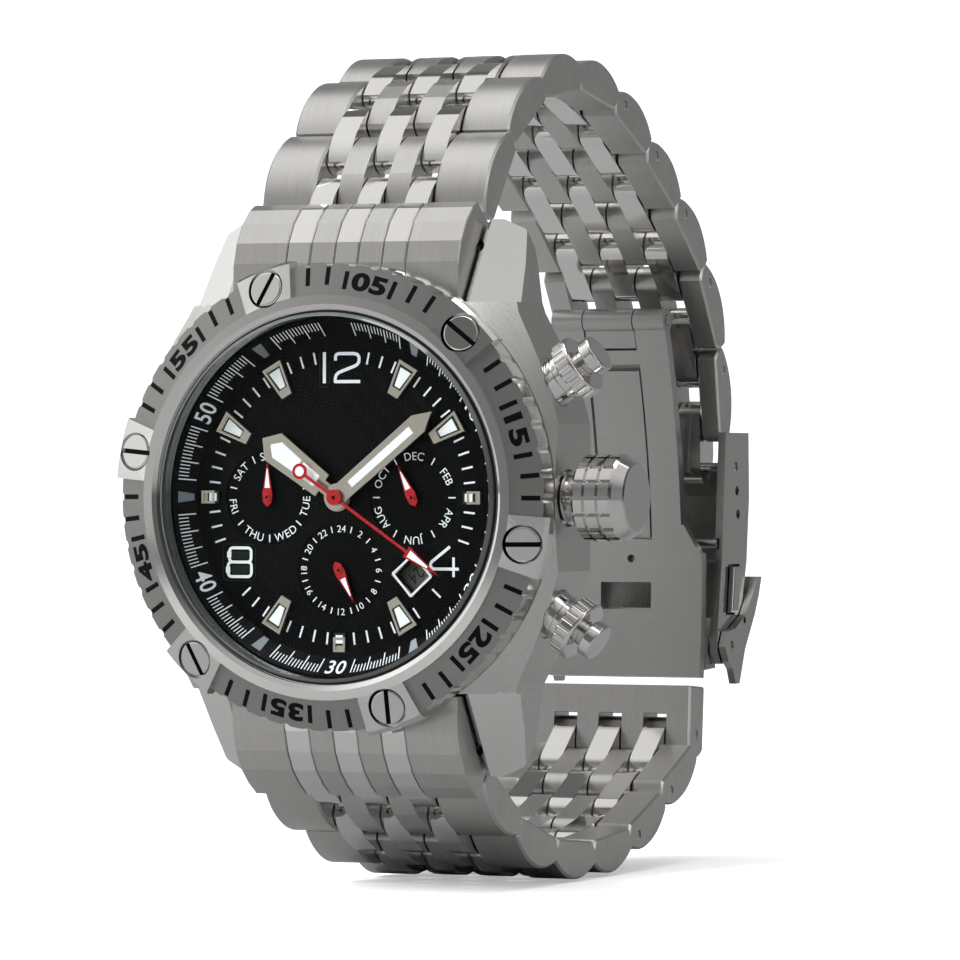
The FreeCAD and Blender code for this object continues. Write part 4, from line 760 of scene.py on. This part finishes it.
def rehaut_lumes():
    sheet = Sheet(rehaut, lift=0.015)
    for hour in (1, 3, 5, 7, 9, 11):
        sheet.radial(15.66, 16.80, 30 * hour, width=0.62, outer_width=1.10)
    sheet.finish("rehaut_lumes", "lume_grey", "case")


dial_print()
numeral_green_edge()
subdial_print()
lacquer_rings()
rehaut_print()
rehaut_lumes()

# --------------------------------------------------------------- markers and hands
# hours, then the green bed and the lume on it, each as (outline, bottom, top)
MARKERS = [
    ((1, 2, 5, 7, 10, 11),
     (taper(11.95, 14.24, 0.50, 0.86), 0.24, 0.31),
     (taper(12.18, 14.04, 0.30, 0.62), 0.25, 0.40)),
    ((3, 6, 9),
     (taper(13.02, 14.24, 0.58, 0.60), 0.20, 0.28),
     (taper(13.24, 14.04, 0.38, 0.40), 0.20, 0.36)),
]
beds, lumes = [], []
for hours, bed, lume in MARKERS:
    for hour in hours:
        for solids, (outline, bottom, top) in ((beds, bed), (lumes, lume)):
            solids.append((turned(outline, 30 * hour), bottom, top))
prisms("marker_green_beds", "marker_green", "case", beds)
prisms("marker_lumes", "lume_white_painted_glow", "case", lumes, bevel=0.03)

HOUR_TIP = [(-0.72, 5.15), (0.72, 5.15), (0.90, 7.85), (0, 8.72), (-0.90, 7.85)]
prisms("hour_hand_lume", "lume_white_painted_glow", "hour", [
    (turned(HOUR_TIP, HOUR_ANGLE), 0.94, 0.975),
    (turned(taper(2.70, 4.85, 0.62, 0.70), HOUR_ANGLE), 0.94, 0.975)])
prisms("minute_hand_lume", "lume_white_painted_glow", "minute", [
    (turned(taper(2.0, 10.3, 0.36, 0.38), MINUTE_ANGLE), 1.29, 1.325)])
# the seconds hand has lume near its tip and a disc on its tail
prisms("seconds_hand_lume", "lume_white_painted_glow", "seconds", [
    (turned(taper(9.55, 11.9, 0.36, 0.10), SECONDS_ANGLE), 1.56, 1.585),
    (turned(circle(0.47, 24, (0, -4.46)), SECONDS_ANGLE), 1.46, 1.575)])
for body, centre, angle in (("day", DAY_CENTRE, 0), ("month", MONTH_CENTRE, -26),
                            ("hour24", HOUR24_CENTRE, 153)):
    prisms(body + "_hand_lume", "lume_white_painted_glow", body,
           [(turned(taper(0.90, 2.75, 0.28, 0.05), angle, centre), 0.455, 0.48)])
    prisms(body + "_hand_pivot", "black_fill_and_painted_shade", body,
           [(circle(0.15, 16, centre), 0.55, 0.575)])
prisms("seconds_cap_dot", "black_fill_and_painted_shade", "seconds",
       [(circle(0.17, 16), 1.71, 1.74)])


# ----------------------------------------------------------- date and bezel print
def date_window_line():
    """White diamond line on the frame of the date window."""
    x, y = polar(10.66, DATE_ANGLE)
    tilt = math.radians(-4.5)
    angles = [tilt + i * math.pi / 2 for i in range(4)]
    sheet = Sheet(level(0.28), lift=0.006)
    sheet.stroke([(x + 2.02 * math.cos(a), y + 2.02 * math.sin(a)) for a in angles],
                 width=0.19, closed=True)
    sheet.finish("date_window_line", "print_white_painted_glow", "case")


def date_numbers():
    """The 31 dates round the date disc, with 24 in the window."""
    sheet = Sheet(level(-0.58), lift=0.006)
    for i in range(31):
        place = on_arc(DIAL_CENTRE, 10.75, DATE_ANGLE + 360.0 / 31 * i)
        sheet.text(str(1 + (23 + i) % 31), 1.25, place, stretch=0.85)
    sheet.finish("date_numbers", "date_print", "date")


def bezel_cone(x, y):
    """Height of the bezel slope: 3.35 at radius 19.4, 2.45 at 3.0 further out."""
    return 3.35 + (math.hypot(x, y) - 19.4) * (2.45 - 3.35) / 3.0


def bezel_marks():
    sheet = Sheet(bezel_cone)
    for i, label in enumerate(["05", "15", "25", "35", "45", "55"]):
        angle = 12.0 + 60.0 * i
        sheet.text(label, 1.62, on_arc(DIAL_CENTRE, 20.85, angle), stretch=1.62, bold=0.10)
        for offset in (-6.9, 6.9):
            sheet.radial(19.98, 21.72, angle + offset, width=0.46)
        for offset in (-12.3, -18.0, 12.3, 18.0):
            sheet.radial(20.35, 22.10, angle + offset, width=0.46)
    sheet.finish("bezel_marks", "black_fill_and_painted_shade", "bezel")


date_window_line()
date_numbers()
bezel_marks()


# -------------------------------------------------------------------------- stage
def backdrop_paper():
    """Paper with a little glow for the camera, darker in the metal's reflections."""
    color = (0.92, 0.92, 0.915)
    mat = Material("backdrop_paper")
    paper = mat.mix(mat.noise(6, detail=2.0), shade(color, 0.985), color)
    camera_ray = mat.node("ShaderNodeLightPath").outputs["Is Camera Ray"]
    # clear to the camera from behind or below, so that no view is walled off
    backfacing = mat.node("ShaderNodeNewGeometry").outputs["Backfacing"]
    mat.surface(
        Base_Color=mat.mix(camera_ray, (0.30, 0.30, 0.30), paper),
        Roughness=0.8,
        Specular_IOR_Level=0.1,
        Emission_Color=paper,
        Emission_Strength=mat.times(camera_ray, 0.42),
        Alpha=mat.minus(1.0, mat.times(backfacing, camera_ray)))


def backdrop():
    """Floor that sweeps up into a wall behind the watch; metres."""
    half_width = 2.4
    floor = CAD_BOX[0].z - 0.0002
    sweep_start, sweep_radius = 0.5, 0.5
    profile = [(-1.6, floor), (sweep_start, floor)]         # (y, z)
    for i in range(1, 13):
        angle = math.radians(90.0 * i / 12)
        profile.append((sweep_start + sweep_radius * math.sin(angle),
                        floor + sweep_radius * (1 - math.cos(angle))))
    profile.append((sweep_start + sweep_radius, 2.2))
    count = len(profile)
    vertices = [(x, y, z) for x in (-half_width, half_width) for y, z in profile]
    faces = [[i, count + i, count + i + 1, i + 1] for i in range(count - 1)]
    mesh = bpy.data.meshes.new("backdrop")
    mesh.from_pydata(vertices, [], faces)
    for face in mesh.polygons:
        face.use_smooth = True
    mesh.update()
    mesh.materials.append(MATERIALS["backdrop_paper"])
    sweep = bpy.data.objects.new("backdrop", mesh)
    bpy.context.scene.collection.objects.link(sweep)


backdrop_paper()
backdrop()


# -------------------------------------------------------------------------- light
def studio_world():
    """Soft grey surroundings, brighter towards -X and above, with a narrow band towards +X."""
    world = bpy.data.worlds.new("studio")
    world.use_nodes = True
    bpy.context.scene.world = world
    sky = Nodes(world.node_tree)
    direction = sky.node("ShaderNodeTexCoord").outputs["Generated"]
    x, y, z = sky.node("ShaderNodeSeparateXYZ", {0: direction}).outputs
    left = sky.smooth(sky.times(x, -1.0), 0.30, 0.75)
    top = sky.smooth(z, 0.35, 0.85)
    front = sky.smooth(sky.times(y, -1.0), 0.75, 0.98)
    low = sky.smooth(sky.times(z, -1.0), 0.05, 0.60)
    stripe = sky.times(sky.smooth(x, 0.55, 0.72), sky.smooth(sky.times(x, -1.0), -0.92, -0.80))
    # a base level plus the share of each source, dimmed towards the floor
    strength = sky.add(0.045, sky.add(sky.times(left, 0.92), sky.times(top, 0.60)))
    strength = sky.add(strength, sky.times(front, 0.10))
    strength = sky.add(strength, sky.times(stripe, 0.28))
    strength = sky.times(strength, sky.minus(1.0, sky.times(low, 0.45)))
    background = world.node_tree.nodes["Background"]
    sky.put(background.inputs["Strength"], strength)
    sky.put(background.inputs["Color"], (1.0, 0.995, 0.985))


LIGHT_TARGET = (0, 0.024, 0)


def softbox(name, location, width, height, power, mirrored=True):
    """Area light aimed at the watch; mirrored says whether it shows in reflections."""
    light = bpy.data.lights.new(name, "AREA")
    light.shape = "RECTANGLE"
    light.size = width
    light.size_y = height
    light.energy = power
    lamp = bpy.data.objects.new(name, light)
    lamp.location = location
    aim = Vector(LIGHT_TARGET) - Vector(location)
    lamp.rotation_mode = "QUATERNION"
    lamp.rotation_quaternion = aim.to_track_quat("-Z", "Y")
    bpy.context.scene.collection.objects.link(lamp)
    lamp.visible_glossy = mirrored


studio_world()
softbox("key_left", (-0.62, -0.50, 0.46), width=0.42, height=0.60, power=11.0, mirrored=False)
softbox("top_soft", (0.05, 0.02, 0.75), width=0.60, height=0.40, power=2.4)
softbox("right_strip", (0.70, -0.10, 0.15), width=0.08, height=0.60, power=0.6)


# ------------------------------------------------------------------------- camera
def add_camera():
    """Level camera in front of the dial, swung towards 3 o'clock and rolled slightly."""
    yaw, roll = math.radians(24.5), math.radians(0.12)
    distance = 0.600                                        # metres
    shift_right, shift_up = 13.35 * MM, 1.70 * MM
    back = Vector((math.sin(yaw), -math.cos(yaw), 0))       # from the watch to the camera
    right = Vector((math.cos(yaw), math.sin(yaw), 0))
    up = back.cross(right)
    rolled_right = right * math.cos(roll) + up * math.sin(roll)
    rolled_up = up * math.cos(roll) - right * math.sin(roll)
    lens = bpy.data.cameras.new("camera")
    lens.lens = 234.1125
    lens.sensor_width = 36.0
    lens.clip_start = 0.05
    lens.clip_end = 20.0
    camera = bpy.data.objects.new("camera", lens)
    camera.location = (Vector((0, FACE_HEIGHT * MM, 0)) + right * shift_right + up * shift_up
                       + back * distance)
    camera.rotation_mode = "QUATERNION"
    axes = Matrix((rolled_right, rolled_up, back)).transposed()
    camera.rotation_quaternion = axes.to_quaternion()
    bpy.context.scene.collection.objects.link(camera)
    bpy.context.scene.camera = camera


add_camera()
bpy.context.scene.view_settings.view_transform = "Standard"
